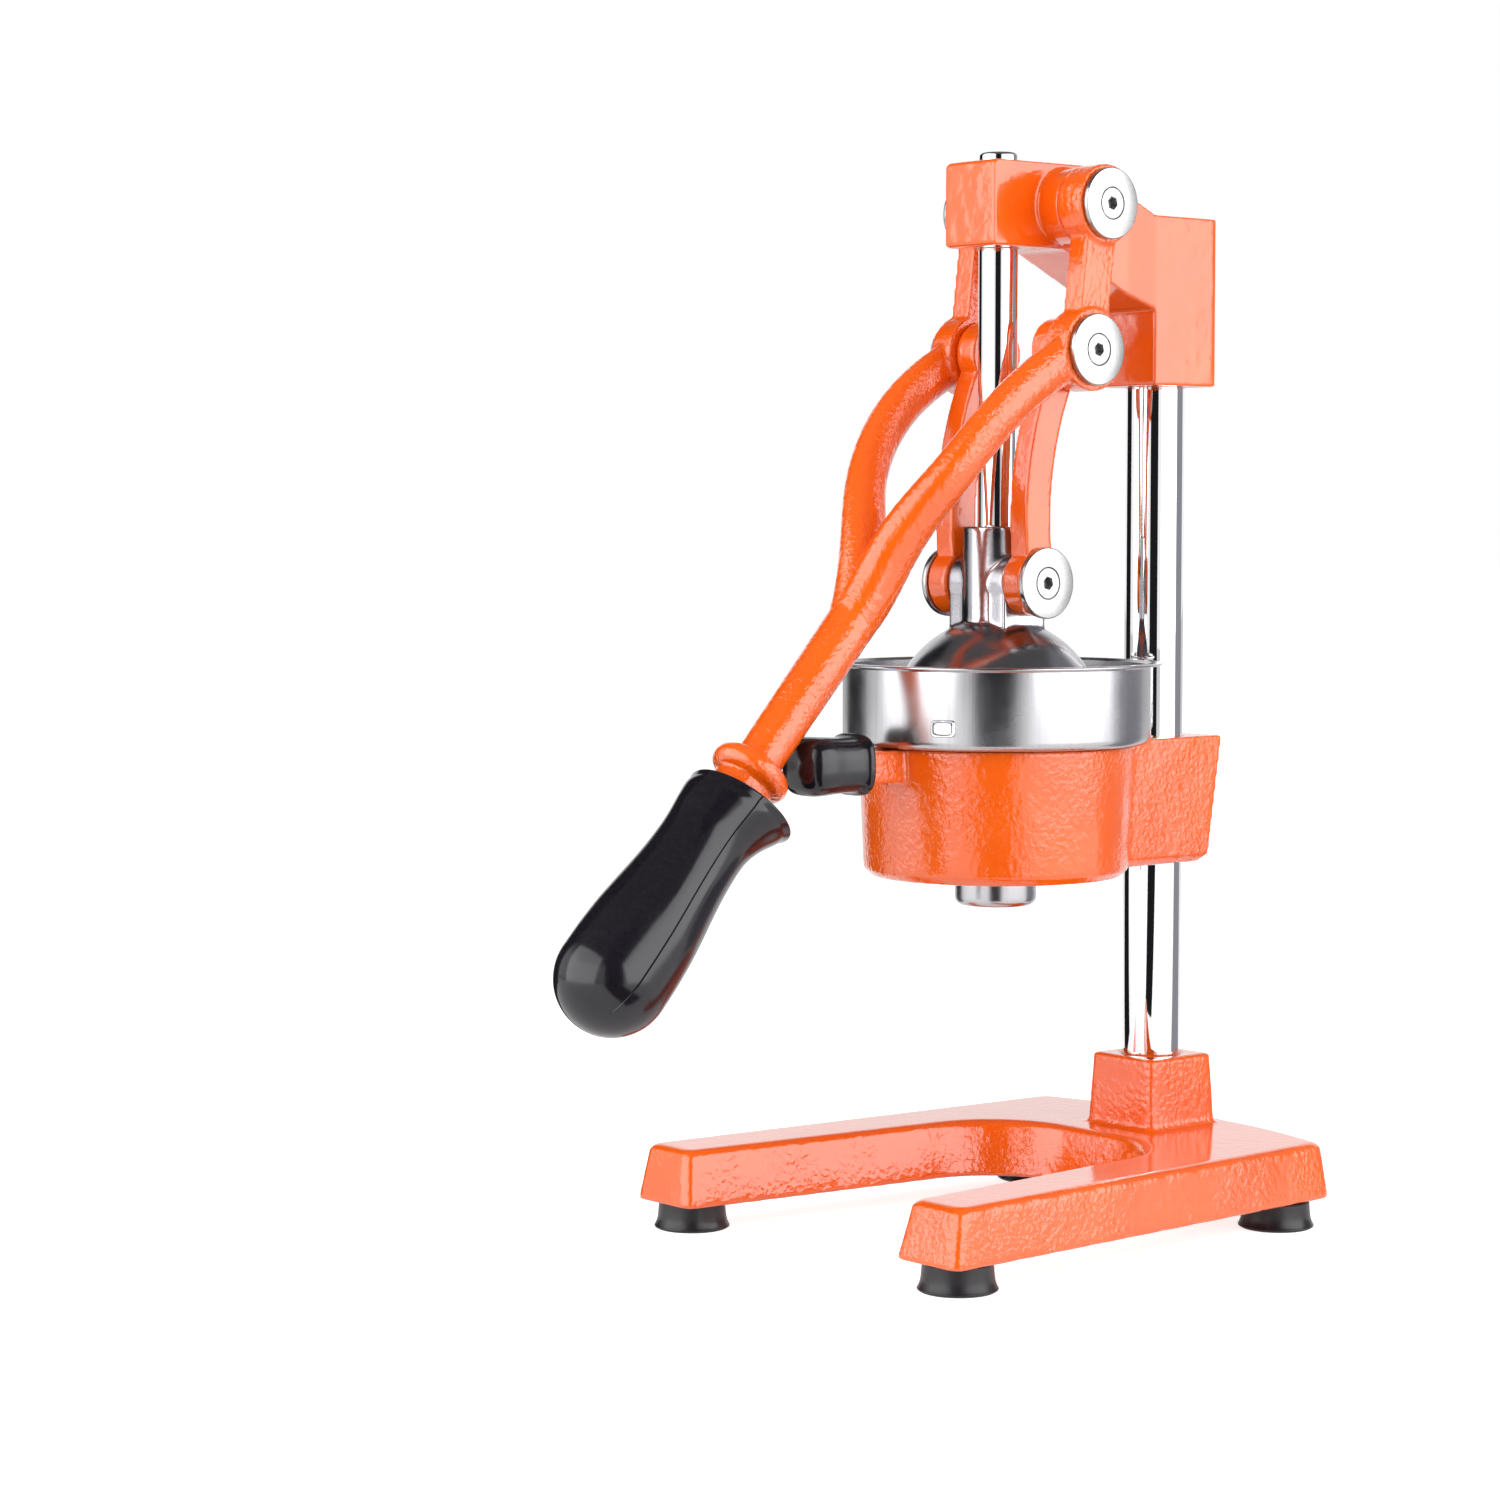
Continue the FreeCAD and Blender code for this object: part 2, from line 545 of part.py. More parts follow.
def on_stem(distance):
    """Point on the stem's axis, measured from the bulb's centre."""
    return V(0, GRIP_Y, GRIP_Z) + stem_axis() * distance


def arm_section(index, side):
    """Elliptical section of a fork arm at one of its stations."""
    places = [V(side * (EYE_OUT - inside), M_Y + y, M_Z + z) for inside, y, z, _, _ in ARM]
    low, high = max(index - 1, 0), min(index + 1, len(ARM) - 1)
    along = (places[high] - places[low]).normalize()
    wide = along.cross(V(1, 0, 0)).normalize()
    thick = along.cross(wide).normalize()
    centre = places[index]
    ellipse = Part.Ellipse(centre + wide * ARM[index][3], centre + thick * ARM[index][4], centre)
    return Part.Wire(ellipse.toShape())


def collar_ring():
    """Round-edged ring on the stem, above the grip."""
    out = V(1, 0, 0)
    low, high = on_stem(RING_AT - RING_ROUND), on_stem(RING_AT + RING_ROUND)
    shoulder = RING_R - RING_ROUND
    edge = Part.Arc(low + out * shoulder, on_stem(RING_AT) + out * RING_R, high + out * shoulder).toShape()
    sides = Part.makePolygon([high + out * shoulder, high, low, low + out * shoulder])
    return Part.Face(Part.Wire([edge, *sides.Edges])).revolve(low, stem_axis(), 360)


def make_lever():
    """Lever casting: two crank arms, the fork, the stem, its collar ring and the grip's tang."""
    pieces = []
    for _, side in SIDES:
        pieces.append(Part.makeLoft([arm_section(index, side) for index in range(len(ARM))], True, False))
        pieces.append(across(T_EYE_R, side * T_EYE_IN, side * EYE_OUT, T_Y, T_Z))
        pieces.append(across(M_EYE_R, side * M_EYE_IN, side * EYE_OUT, M_Y, M_Z))
        span = V(0, M_Y - T_Y, M_Z - T_Z)
        wide = V(0, -span.z, span.y).normalize() * (CRANK_W / 2)
        inner = V(side * M_EYE_IN, T_Y, T_Z)
        corners = [inner + wide, inner - wide, inner - wide + span, inner + wide + span]
        pieces.append(Part.Face(Part.makePolygon(corners + [corners[0]])).extrude(V(side * CRANK_H, 0, 0)))
    axis = stem_axis()
    stem = Part.makeCone(STEM_R, STEM_ROOT_R, STEM_LEN - RING_AT, on_stem(RING_AT), axis)
    neck = tube(NECK_R, on_stem(GRIP_MOUTH - 2), on_stem(RING_AT))
    tang = tube(TANG_R, on_stem(TANG_END), on_stem(GRIP_MOUTH))
    body = fused(pieces[0], *pieces[1:], stem, collar_ring(), neck, tang)
    holes = []
    for _, side in SIDES:
        holes.append(across(EYE_BUSH_R + FIT, side * (T_EYE_IN - 1), side * (EYE_OUT + 1), T_Y, T_Z))
        holes.append(across(PIN_R + FIT, side * (M_EYE_IN - 1), side * (EYE_OUT + 1), M_Y, M_Z))
    nodes["lever_casting"] = body.cut(Part.makeCompound(holes))
    for label, side in SIDES:
        nodes[f"lever_bush_{label}"] = side_bush(T_EYE_IN, EYE_OUT, side, T_Y, T_Z)
        pin = across(PIN_R, side * M_EYE_IN, side * AXLE_END, 0, 0).cut(screw_body(DISC_FACE_X, side, FIT))
        nodes[f"crank_pin_{label}"] = placed(pin, M_Y, M_Z)
    pivot_hardware("crank", DISC_FACE_X, M_Y, M_Z)


def side_bush(x_in, x_out, side, y, z):
    """Bush of a running eye on one side."""
    low, high = sorted((side * x_in, side * x_out))
    return bush(PIN_R + RUN, EYE_BUSH_R, low, high, y, z)


def make_grip():
    """Hollow-mouthed handle pushed onto the lever's tang."""
    axis = stem_axis()
    shaft = turned(((0, 0), (0, BULB_R), *GRIP_OUTLINE[::-1], (GRIP_MOUTH, 0)), on_stem(0), axis)
    bulb = Part.makeSphere(BULB_R, on_stem(0))
    tang_hole = tube(TANG_R + FIT, on_stem(TANG_END - 1), on_stem(GRIP_MOUTH + 1))
    mouth = tube(NECK_R + 0.3, on_stem(GRIP_MOUTH - 2 - SIDE), on_stem(GRIP_MOUTH + 1))
    nodes["main_grip"] = fused(shaft, bulb).cut(tang_hole).cut(mouth)


# ---- press -----------------------------------------------------------------------------------------
def make_press():
    """Press dome with its socket and lugs, the sliding rod and the lug pins."""
    rod = upright(ROD_R, ROD_FOOT_Z, ROD_TOP_Z)
    nodes["press_rod"] = rod.makeChamfer(1.4, [rod.Edges[0] if rod.Edges[0].CenterOfMass.z > ROD_FOOT_Z + 1
                                               else rod.Edges[2]])
    sphere = Part.makeSphere(DOME_R, V(0, 0, DOME_Z))
    upper = sphere.common(block(-DOME_R - 1, DOME_R + 1, -DOME_R - 1, DOME_R + 1, DOME_Z, DOME_Z + DOME_R + 1))
    skirt = upright(DOME_R, DOME_Z - SKIRT, DOME_Z)
    socket = upright(TUBE_R, DOME_Z + DOME_R - 6, TUBE_TOP_Z)
    lug = across(LUG_R, -LUG_X, LUG_X, 0, L_Z)
    half = LUG_R - LUG_WEB
    web = block(-LUG_X, LUG_X, -half, half, DOME_Z + DOME_R - 8, L_Z)
    body = fused(upper, skirt, socket, lug, web)
    cavity = Part.makeSphere(DOME_R - DOME_WALL, V(0, 0, DOME_Z))
    well = upright(DOME_R - DOME_WALL, DOME_Z - SKIRT - 1, DOME_Z)
    hole = upright(ROD_R + FIT, ROD_FOOT_Z, TUBE_TOP_Z + 1)
    body = body.cut(cavity).cut(well).cut(hole)
    for _, side in SIDES:
        body = body.cut(across(PIN_R + FIT, side * LUG_PIN_X, side * (LUG_X + 1), 0, L_Z))
    nodes["press_cup"] = body
    for label, side in SIDES:
        pin = across(PIN_R, side * LUG_PIN_X, side * (LUG_FACE_X - DISC_H), 0, 0)
        nodes[f"lug_pin_{label}"] = placed(pin.cut(screw_body(LUG_FACE_X, side, FIT)), 0, L_Z)
    pivot_hardware("lug", LUG_FACE_X, 0, L_Z)


# ---- links -----------------------------------------------------------------------------------------
def link_bar(side):
    """Curved flat bar between the two pivots, bowed to the front."""
    low, high = V(side * LINK_X, 0, L_Z), V(side * LINK_X, M_Y, M_Z)
    chord = high - low
    forward = V(0, -chord.z, chord.y).normalize()
    radius = ((chord.Length / 2) ** 2 + LINK_BOW ** 2) / (2 * LINK_BOW)
    centre = low + chord * 0.5 - forward * (radius - LINK_BOW)
    edges = []
    for grow in (LINK_HALF_W, -LINK_HALF_W):
        ends = [centre + (point - centre).normalize() * (radius + grow) for point in (low, high)]
        edges.append((ends[0], centre + forward * (radius + grow), ends[1]))
    outer, inner = edges
    wire = Part.Wire([Part.Arc(*outer).toShape(), Part.LineSegment(outer[2], inner[2]).toShape(),
                      Part.Arc(*inner[::-1]).toShape(), Part.LineSegment(inner[0], outer[0]).toShape()])
    return Part.Face(wire).extrude(V(side * (LINK_OUT - LINK_X), 0, 0))


def make_links():
    """Connecting links from the lever's cranks down to the press lugs."""
    for label, side in SIDES:
        eyes = [across(LINK_EYE_R, side * LINK_X, side * LINK_OUT, y, z) for y, z in ((0, L_Z), (M_Y, M_Z))]
        body = fused(link_bar(side), *eyes)
        body = body.cut(across(EYE_BUSH_R + FIT, side * (LINK_X - 1), side * (LINK_OUT + 1), 0, L_Z))
        body = body.cut(across(PIN_R + FIT, side * (LINK_X - 1), side * (LINK_OUT + 1), M_Y, M_Z))
        nodes[f"link_{label}"] = body
        nodes[f"link_bush_{label}"] = side_bush(LINK_X, LINK_OUT, side, 0, L_Z)
        nodes[f"link_pin_{label}"] = across(PIN_R, side * LINK_X, side * LINK_OUT, M_Y, M_Z)


# ---- carrier ---------------------------------------------------------------------------------------
def carrier_wire(rise, inset, z):
    """Outline of the carrier: round bowl, concave fillets and the block on the column."""
    radius = CARRIER_R + CARRIER_FLARE * rise - inset
    half = CARRIER_CLAMP - inset
    back = COL_Y + CARRIER_BACK + CARRIER_SLOPE * rise - inset
    fillet = CARRIER_FILLET + inset
    centre_x = half + fillet
    centre_y = math.sqrt((radius + fillet) ** 2 - centre_x ** 2)
    on_bowl = V(centre_x, centre_y, 0) * (radius / (radius + fillet))
    bend = math.atan2(on_bowl.y - centre_y, on_bowl.x - centre_x)
    middle_angle = (bend + 2 * math.pi + math.pi) / 2
    right = [V(half, centre_y, z), V(centre_x + fillet * math.cos(middle_angle),
                                     centre_y + fillet * math.sin(middle_angle), z),
             V(on_bowl.x, on_bowl.y, z)]
    left = [V(-point.x, point.y, z) for point in right]
    corner_right, corner_left = V(half, back, z), V(-half, back, z)
    return Part.Wire([Part.Arc(right[2], V(0, -radius, z), left[2]).toShape(),
                      Part.Arc(left[2], left[1], left[0]).toShape(),
                      Part.LineSegment(left[0], corner_left).toShape(),
                      Part.LineSegment(corner_left, corner_right).toShape(),
                      Part.LineSegment(corner_right, right[0]).toShape(),
                      Part.Arc(right[0], right[1], right[2]).toShape()])


def make_carrier():
    """Carrier casting that holds the juice cup, with its steady arm."""
    share = CARRIER_EDGE / CARRIER_H
    body = stack([carrier_wire(0, CARRIER_EDGE, CARRIER_Z), carrier_wire(share, 0, CARRIER_Z + CARRIER_EDGE),
                  carrier_wire(1, 0, CARRIER_TOP_Z)])
    arm = block(-ARM_HALF, ARM_HALF, ARM_TIP_Y, -CARRIER_R + 5, ARM_LOW_Z, ARM_LOW_Z + ARM_TALL)
    body = fused(body, arm)
    floor_z = CARRIER_Z + CARRIER_FLOOR
    back_y = COL_Y + CARRIER_BACK + CARRIER_SLOPE
    screw_z = CARRIER_Z + CARRIER_SCREW_UP
    holes = [upright(CARRIER_R - CARRIER_WALL, floor_z, CARRIER_TOP_Z + 1),
             upright(SPOUT_R + 0.6, CARRIER_Z - 1, floor_z + 1),
             upright(COL_R + FIT, CARRIER_Z - 1, CARRIER_TOP_Z + 1, 0, COL_Y),
             set_screw_hole(screw_z, back_y)]
    nodes["bowl_carrier"] = body.cut(Part.makeCompound(holes))
    seat = COL_Y + CARRIER_BACK + CARRIER_SLOPE * CARRIER_SCREW_UP / CARRIER_H
    nodes["carrier_set_screw"] = set_screw(screw_z, seat)


def steady_wire(y, grow):
    """Rounded cross section of the steady grip at a Y place."""
    half, tall = STEADY_HALF + grow, STEADY_TALL / 2 + grow
    middle = STEADY_TOP_Z - STEADY_TALL / 2
    radius = 5.0 + grow
    flat = rounded_wire(((-half, -tall, radius), (-half, tall, radius), (half, tall, radius),
                         (half, -tall, radius)), 0)
    turn = FreeCAD.Placement(V(0, y, middle), FreeCAD.Rotation(V(1, 0, 0), 90))
    flat.Placement = turn
    return flat


def make_steady_grip():
    """Short grip on the carrier's arm, which steadies the press while the lever is pulled."""
    front, back = STEADY_Y
    body = stack([steady_wire(front, -STEADY_BEVEL), steady_wire(front + STEADY_BEVEL, 0),
                  steady_wire(back - 2, 0)])
    lip = stack([steady_wire(back - 2, STEADY_LIP), steady_wire(back, STEADY_LIP)])
    socket = block(-ARM_HALF - FIT, ARM_HALF + FIT, ARM_TIP_Y - FIT, back + 1, ARM_LOW_Z - FIT,
                   ARM_LOW_Z + ARM_TALL + FIT)
    nodes["steady_grip"] = fused(body, lip).cut(socket)


# ---- juice cup and strainer --------------------------------------------------------------------------
def cup_outline():
    """Closed (height above the spout, radius) outline of the drawn steel cup."""
    wall = CUP_WALL
    shoulder = SHOULDER_Z - SPOUT_Z
    rim = CUP_TOP_Z - SPOUT_Z
    well = shoulder - WELL_DEPTH
    neck = SPOUT_TOP_Z - SPOUT_Z
    outside = [(0, SPOUT_HOLE_R), (0, SPOUT_R - SPOUT_ROUND), (SPOUT_ROUND * 0.3, SPOUT_R - SPOUT_ROUND * 0.3),
               (SPOUT_ROUND, SPOUT_R), (neck, SPOUT_R), (well, WELL_R), (shoulder, WELL_R),
               (shoulder, CUP_R - CUP_CORNER), (shoulder + CUP_CORNER * 0.3, CUP_R - CUP_CORNER * 0.3),
               (shoulder + CUP_CORNER, CUP_R), (rim - wall, CUP_R), (rim - wall, CUP_RIM_R), (rim, CUP_RIM_R)]
    inside = [(rim, CUP_R - wall), (shoulder + CUP_CORNER, CUP_R - wall),
              (shoulder + wall, CUP_R - CUP_CORNER), (shoulder + wall, WELL_R - wall),
              (well + 0.4, WELL_R - wall), (neck + 0.4, SPOUT_R - wall), (SPOUT_ROUND, SPOUT_R - wall),
              (wall, SPOUT_R - SPOUT_ROUND), (wall, SPOUT_HOLE_R)]
    return outside + inside


def cup_tab(angle):
    """Small pressed tab on the cup's wall."""
    tab = block(CUP_R - CUP_WALL / 2, CUP_R + TAB_OUT, -TAB_W / 2, TAB_W / 2, TAB_Z - TAB_H / 2,
                TAB_Z + TAB_H / 2)
    return tab.rotated(V(0, 0, 0), V(0, 0, 1), angle)


def make_cup():
    """Drawn steel juice cup with its rim, well, spout and pressed tabs."""
    shell = turned(cup_outline(), V(0, 0, SPOUT_Z), V(0, 0, 1))
    tabs = [cup_tab(TAB_ANGLE + 360 * k / TAB_COUNT) for k in range(TAB_COUNT)]
    nodes["juice_cup"] = fused(shell, *tabs)


def make_strainer():
    """Strainer plate with the raised reamer that the fruit is pressed on."""
    seat = SHOULDER_Z + CUP_WALL + FIT
    wall = STRAINER_WALL
    outline = ((0, REAMER_R - wall), (0, STRAINER_R), (wall, STRAINER_R), (wall, REAMER_R),
               (REAMER_H, REAMER_TOP_R), (REAMER_H, 0), (REAMER_H - wall, 0),
               (REAMER_H - wall, REAMER_TOP_R - wall))
    nodes["strainer"] = turned(outline, V(0, 0, seat), V(0, 0, 1))


def main():
    """Build every node and write its STEP file."""
    for build in (make_base, make_feet, make_column, make_head, make_fulcrum, make_lever, make_grip,
                  make_press, make_links, make_carrier, make_steady_grip, make_cup, make_strainer):
        build()
    os.makedirs("parts", exist_ok=True)
    for name, drawn in nodes.items():
        shape = drawn.translated(V(0, -ORIGIN_Y, 0))
        shape.exportStep(f"parts/{name}.step")
        solids = shape.Solids
        box = shape.BoundBox
        print(f"{name:22s} solids {len(solids)} valid {shape.isValid()} volume {shape.Volume:10.1f}"
              f"  x {box.XMin:7.1f} {box.XMax:7.1f}  y {box.YMin:7.1f} {box.YMax:7.1f}"
              f"  z {box.ZMin:7.1f} {box.ZMax:7.1f}")


main()
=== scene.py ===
"""Looks of a hand lever citrus press, built round its solid frame.

Every length is in metres in the frame of the solid model: +Z up, -Y towards the user, X across.
"""
import logging
import math
from dataclasses import dataclass, field
from enum import Enum
from typing import Callable, Iterable, Optional, Sequence

import bmesh
import bpy
from mathutils import Matrix, Vector


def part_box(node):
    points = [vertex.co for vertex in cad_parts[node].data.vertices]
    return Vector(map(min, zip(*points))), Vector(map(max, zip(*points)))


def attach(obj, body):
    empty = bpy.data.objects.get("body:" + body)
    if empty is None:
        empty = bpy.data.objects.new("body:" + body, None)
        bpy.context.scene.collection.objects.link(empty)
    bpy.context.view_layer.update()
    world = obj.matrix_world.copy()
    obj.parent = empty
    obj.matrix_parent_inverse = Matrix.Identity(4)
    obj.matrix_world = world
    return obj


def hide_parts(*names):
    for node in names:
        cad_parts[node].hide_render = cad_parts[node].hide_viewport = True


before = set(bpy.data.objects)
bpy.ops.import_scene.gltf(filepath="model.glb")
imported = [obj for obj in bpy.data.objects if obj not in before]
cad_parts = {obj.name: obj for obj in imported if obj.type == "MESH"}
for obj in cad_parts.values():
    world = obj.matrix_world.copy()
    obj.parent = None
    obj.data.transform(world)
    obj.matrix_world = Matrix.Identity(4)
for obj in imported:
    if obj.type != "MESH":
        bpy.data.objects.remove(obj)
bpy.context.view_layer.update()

LOG = logging.getLogger("press")
MM = 0.001
Rings = list[list[Vector]]


# ---------------------------------------------------------------------------------------------
# Places taken from the solid model
# ---------------------------------------------------------------------------------------------
@dataclass(frozen=True)
class Span:
    """Lowest and highest corner of a solid node, with its middle and size."""

    low: Vector
    high: Vector

    @classmethod
    def of(cls, node: str) -> "Span":
        """Span of one node."""
        low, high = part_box(node)
        return cls(Vector(low), Vector(high))

    @property
    def mid(self) -> Vector:
        """Middle of the span."""
        return (self.low + self.high) / 2

    @property
    def size(self) -> Vector:
        """Side lengths of the span."""
        return self.high - self.low


ROD = Span.of("press_rod")
COLUMN = Span.of("column")
AXIS_Y = ROD.mid.y


# ---------------------------------------------------------------------------------------------
# Material building
# ---------------------------------------------------------------------------------------------
class Shader:
    """Small helper that adds and joins the nodes of one material."""

    def __init__(self, name: str) -> None:
        """Starts an empty material.

        Args:
            name: name of the material.
        """
        self.material = bpy.data.materials.new(name)
        self.material.use_nodes = True
        self.tree = self.material.node_tree
        self.tree.nodes.clear()
        self.output = self.add("ShaderNodeOutputMaterial")
        self.surface = self.add("ShaderNodeBsdfPrincipled")
        self.join(self.surface, "BSDF", self.output, "Surface")
        self.coords = self.add("ShaderNodeTexCoord")

    def add(self, kind: str, **settings: object) -> bpy.types.Node:
        """Adds a node.

        Args:
            kind: type name of the node.
            **settings: properties of the node, or values of its inputs by name.

        Returns:
            The new node.
        """
        node = self.tree.nodes.new(kind)
        for key, value in settings.items():
            if hasattr(node, key):
                setattr(node, key, value)
            else:
                node.inputs[key.replace("_", " ")].default_value = value
        return node

    def join(self, source: bpy.types.Node, out: str | int, target: bpy.types.Node, into: str | int) -> None:
        """Links an output to an input."""
        self.tree.links.new(source.outputs[out], target.inputs[into])

    def set(self, **values: object) -> None:
        """Sets plain values on the surface shader's own sockets."""
        for key, value in values.items():
            self.surface.inputs[key.replace("_", " ")].default_value = value

    def place(self, scale: tuple[float, float, float] = (1, 1, 1)) -> bpy.types.Node:
        """Mapping node on the object's own coordinates."""
        mapping = self.add("ShaderNodeMapping")
        mapping.inputs["Scale"].default_value = scale
        self.join(self.coords, "Object", mapping, "Vector")
        return mapping

    def noise(self, scale: float, detail: float = 2.0, roughness: float = 0.5, distortion: float = 0.0,
              stretch: tuple[float, float, float] = (1, 1, 1)) -> bpy.types.Node:
        """Noise texture on the object's own coordinates.

        Args:
            scale: waves per metre.
            detail: number of octaves.
            roughness: weight of the finer octaves.
            distortion: amount of warping.
            stretch: scale of each axis.

        Returns:
            The texture node.
        """
        texture = self.add("ShaderNodeTexNoise", Scale=scale, Detail=detail, Roughness=roughness,
                           Distortion=distortion)
        self.join(self.place(stretch), "Vector", texture, "Vector")
        return texture

    def ramp(self, source: bpy.types.Node, out: str | int, stops: Sequence[tuple[float, tuple]]) -> bpy.types.Node:
        """Colour ramp fed by a value.

        Args:
            source: node that gives the value.
            out: name of its output.
            stops: pairs of position and colour.

        Returns:
            The ramp node.
        """
        ramp = self.add("ShaderNodeValToRGB")
        elements = ramp.color_ramp.elements
        while len(elements) < len(stops):
            elements.new(0.5)
        for element, (position, colour) in zip(elements, stops):
            element.position = position
            element.color = (*colour, 1.0) if len(colour) == 3 else colour
        self.join(source, out, ramp, "Fac")
        return ramp

    def span(self, source: bpy.types.Node, out: str | int, low: float, high: float,
             from_low: float = 0.0, from_high: float = 1.0) -> bpy.types.Node:
        """Map Range node from one interval to another."""
        node = self.add("ShaderNodeMapRange")
        node.inputs["From Min"].default_value = from_low
        node.inputs["From Max"].default_value = from_high
        node.inputs["To Min"].default_value = low
        node.inputs["To Max"].default_value = high
        self.join(source, out, node, "Value")
        return node

    def bump(self, layers: Sequence[tuple[bpy.types.Node, str | int, float, float]]) -> None:
        """Chain of bumps on the surface.

        Args:
            layers: for each bump its height node, output, strength and distance in metres.
        """
        before = None
        for source, out, strength, distance in layers:
            node = self.add("ShaderNodeBump", Strength=strength, Distance=distance)
            self.join(source, out, node, "Height")
            if before is not None:
                self.join(before, "Normal", node, "Normal")
            before = node
        self.join(before, "Normal", self.surface, "Normal")
        self.join(before, "Normal", self.surface, "Coat Normal")


def grey(value: float) -> tuple[float, float, float]:
    """Neutral colour."""
    return (value, value, value)


@dataclass(frozen=True)
class Enamel:
    """Glossy orange enamel over a sand casting.

    Attributes:
        name: name of the material.
        hammer: depth of the hammered relief in metres.
        grain: waves of that relief per metre.
        peel: depth of the fine orange peel in metres.
        pits: depth of the small casting pits in metres.
        level: share of the relief that level faces keep.
    """

    name: str
    hammer: float
    grain: float
    peel: float
    pits: float
    level: float = 1.0
    colour: tuple[float, float, float] = (0.98, 0.138, 0.004)

    def material(self) -> bpy.types.Material:
        """Builds the material."""
        shader = Shader(self.name)
        patches = shader.noise(22, 3, 0.55)
        deep = tuple(channel * factor for channel, factor in zip(self.colour, (0.9, 0.8, 0.8)))
        tint = shader.ramp(patches, "Fac", ((0.3, deep), (0.7, self.colour)))
        shader.join(tint, "Color", shader.surface, "Base Color")
        gloss = shader.noise(90, 3, 0.6)
        rough = shader.span(gloss, "Fac", 0.10, 0.22)
        shader.join(rough, "Result", shader.surface, "Roughness")
        shader.set(Coat_Weight=0.9, Coat_Roughness=0.03, Coat_IOR=1.5, IOR=1.5)
        hammered = shader.noise(self.grain, 2.5, 0.45, 0.35)
        where = shader.noise(35, 2, 0.5)
        mask = shader.span(where, "Fac", 0.12, 1.0, 0.36, 0.64)
        facing = shader.add("ShaderNodeTexCoord")
        split = shader.add("ShaderNodeSeparateXYZ")
        shader.join(facing, "Normal", split, "Vector")
        steep = shader.span(split, "Z", 1.0, self.level, 0.6, 0.95)
        where = shader.add("ShaderNodeMath", operation="MULTIPLY")
        shader.join(mask, "Result", where, 0)
        shader.join(steep, "Result", where, 1)
        relief = shader.add("ShaderNodeMath", operation="MULTIPLY")
        shader.join(hammered, "Fac", relief, 0)
        shader.join(where, 0, relief, 1)
        fine = shader.noise(self.grain * 3.4, 2, 0.5)
        cells = shader.add("ShaderNodeTexVoronoi", Scale=430.0)
        shader.join(shader.place(), "Vector", cells, "Vector")
        holes = shader.span(cells, "Distance", 0.0, 1.0, 0.02, 0.12)
        shader.bump(((relief, 0, 0.9, self.hammer), (fine, "Fac", 0.7, self.peel), (holes, "Result", 0.6, self.pits)))
        return shader.material


@dataclass(frozen=True)
class Chrome:
    """Mirror chrome plate on a turned bar, with a breath of haze and fine lengthways marks."""

    name: str
    tint: tuple[float, float, float] = (0.88, 0.885, 0.9)

    def material(self) -> bpy.types.Material:
        """Builds the material."""
        shader = Shader(self.name)
        haze = shader.noise(60, 4, 0.6, 0.2)
        rough = shader.span(haze, "Fac", 0.018, 0.06, 0.35, 0.75)
        shader.join(rough, "Result", shader.surface, "Roughness")
        tint = shader.ramp(haze, "Fac", ((0.3, self.tint), (0.8, tuple(c * 0.96 for c in self.tint))))
        shader.join(tint, "Color", shader.surface, "Base Color")
        shader.set(Metallic=1.0)
        wave = shader.noise(40, 1, 0.4, 0.0, (1, 1, 0.12))
        marks = shader.noise(2600, 1, 0.5, 0.0, (1, 1, 0.015))
        shader.bump(((wave, "Fac", 0.5, 0.00005), (marks, "Fac", 0.12, 0.000004)))
        return shader.material


@dataclass(frozen=True)
class Drawn:
    """Bright metal with grain along one direction.

    Attributes:
        name: name of the material.
        tint: colour of the metal.
        rough: lowest and highest roughness.
        stretch: scale of the grain along each axis.
        depth: depth of the grain in metres.
    """

    name: str
    tint: tuple[float, float, float]
    rough: tuple[float, float]
    stretch: tuple[float, float, float]
    depth: float = 0.000012
    grain: float = 1500.0

    def material(self) -> bpy.types.Material:
        """Builds the material."""
        shader = Shader(self.name)
        lines = shader.noise(self.grain, 3, 0.6, 0.0, self.stretch)
        cloud = shader.noise(45, 3, 0.55, 0.3)
        tint = shader.ramp(lines, "Fac", ((0.25, tuple(c * 0.9 for c in self.tint)), (0.7, self.tint)))
        shader.join(tint, "Color", shader.surface, "Base Color")
        rough = shader.span(cloud, "Fac", *self.rough, 0.3, 0.7)
        shader.join(rough, "Result", shader.surface, "Roughness")
        shader.set(Metallic=1.0)
        shader.bump(((cloud, "Fac", 0.3, 0.00003), (lines, "Fac", 0.5, self.depth)))
        return shader.material


@dataclass(frozen=True)
class Moulded:
    """Moulded plastic or rubber.

    Attributes:
        name: name of the material.
        tint: its colour.
        rough: lowest and highest roughness.
        skin: depth of the moulded skin's relief in metres.
        scale: waves of that relief per metre.
    """

    name: str
    tint: tuple[float, float, float]
    rough: tuple[float, float]
    skin: float
    scale: float

    def material(self) -> bpy.types.Material:
        """Builds the material."""
        shader = Shader(self.name)
        smear = shader.noise(28, 4, 0.6, 0.6)
        rough = shader.span(smear, "Fac", *self.rough, 0.3, 0.72)
        shader.join(rough, "Result", shader.surface, "Roughness")
        dust = shader.noise(700, 3, 0.6)
        tint = shader.ramp(dust, "Fac", ((0.4, self.tint), (0.85, tuple(c * 1.6 + 0.002 for c in self.tint))))
        shader.join(tint, "Color", shader.surface, "Base Color")
        shader.set(IOR=1.5)
        skin = shader.noise(self.scale, 3, 0.55)
        sink = shader.noise(24, 1, 0.4)
        shader.bump(((sink, "Fac", 0.4, 0.0003), (skin, "Fac", 0.5, self.skin)))
        return shader.material


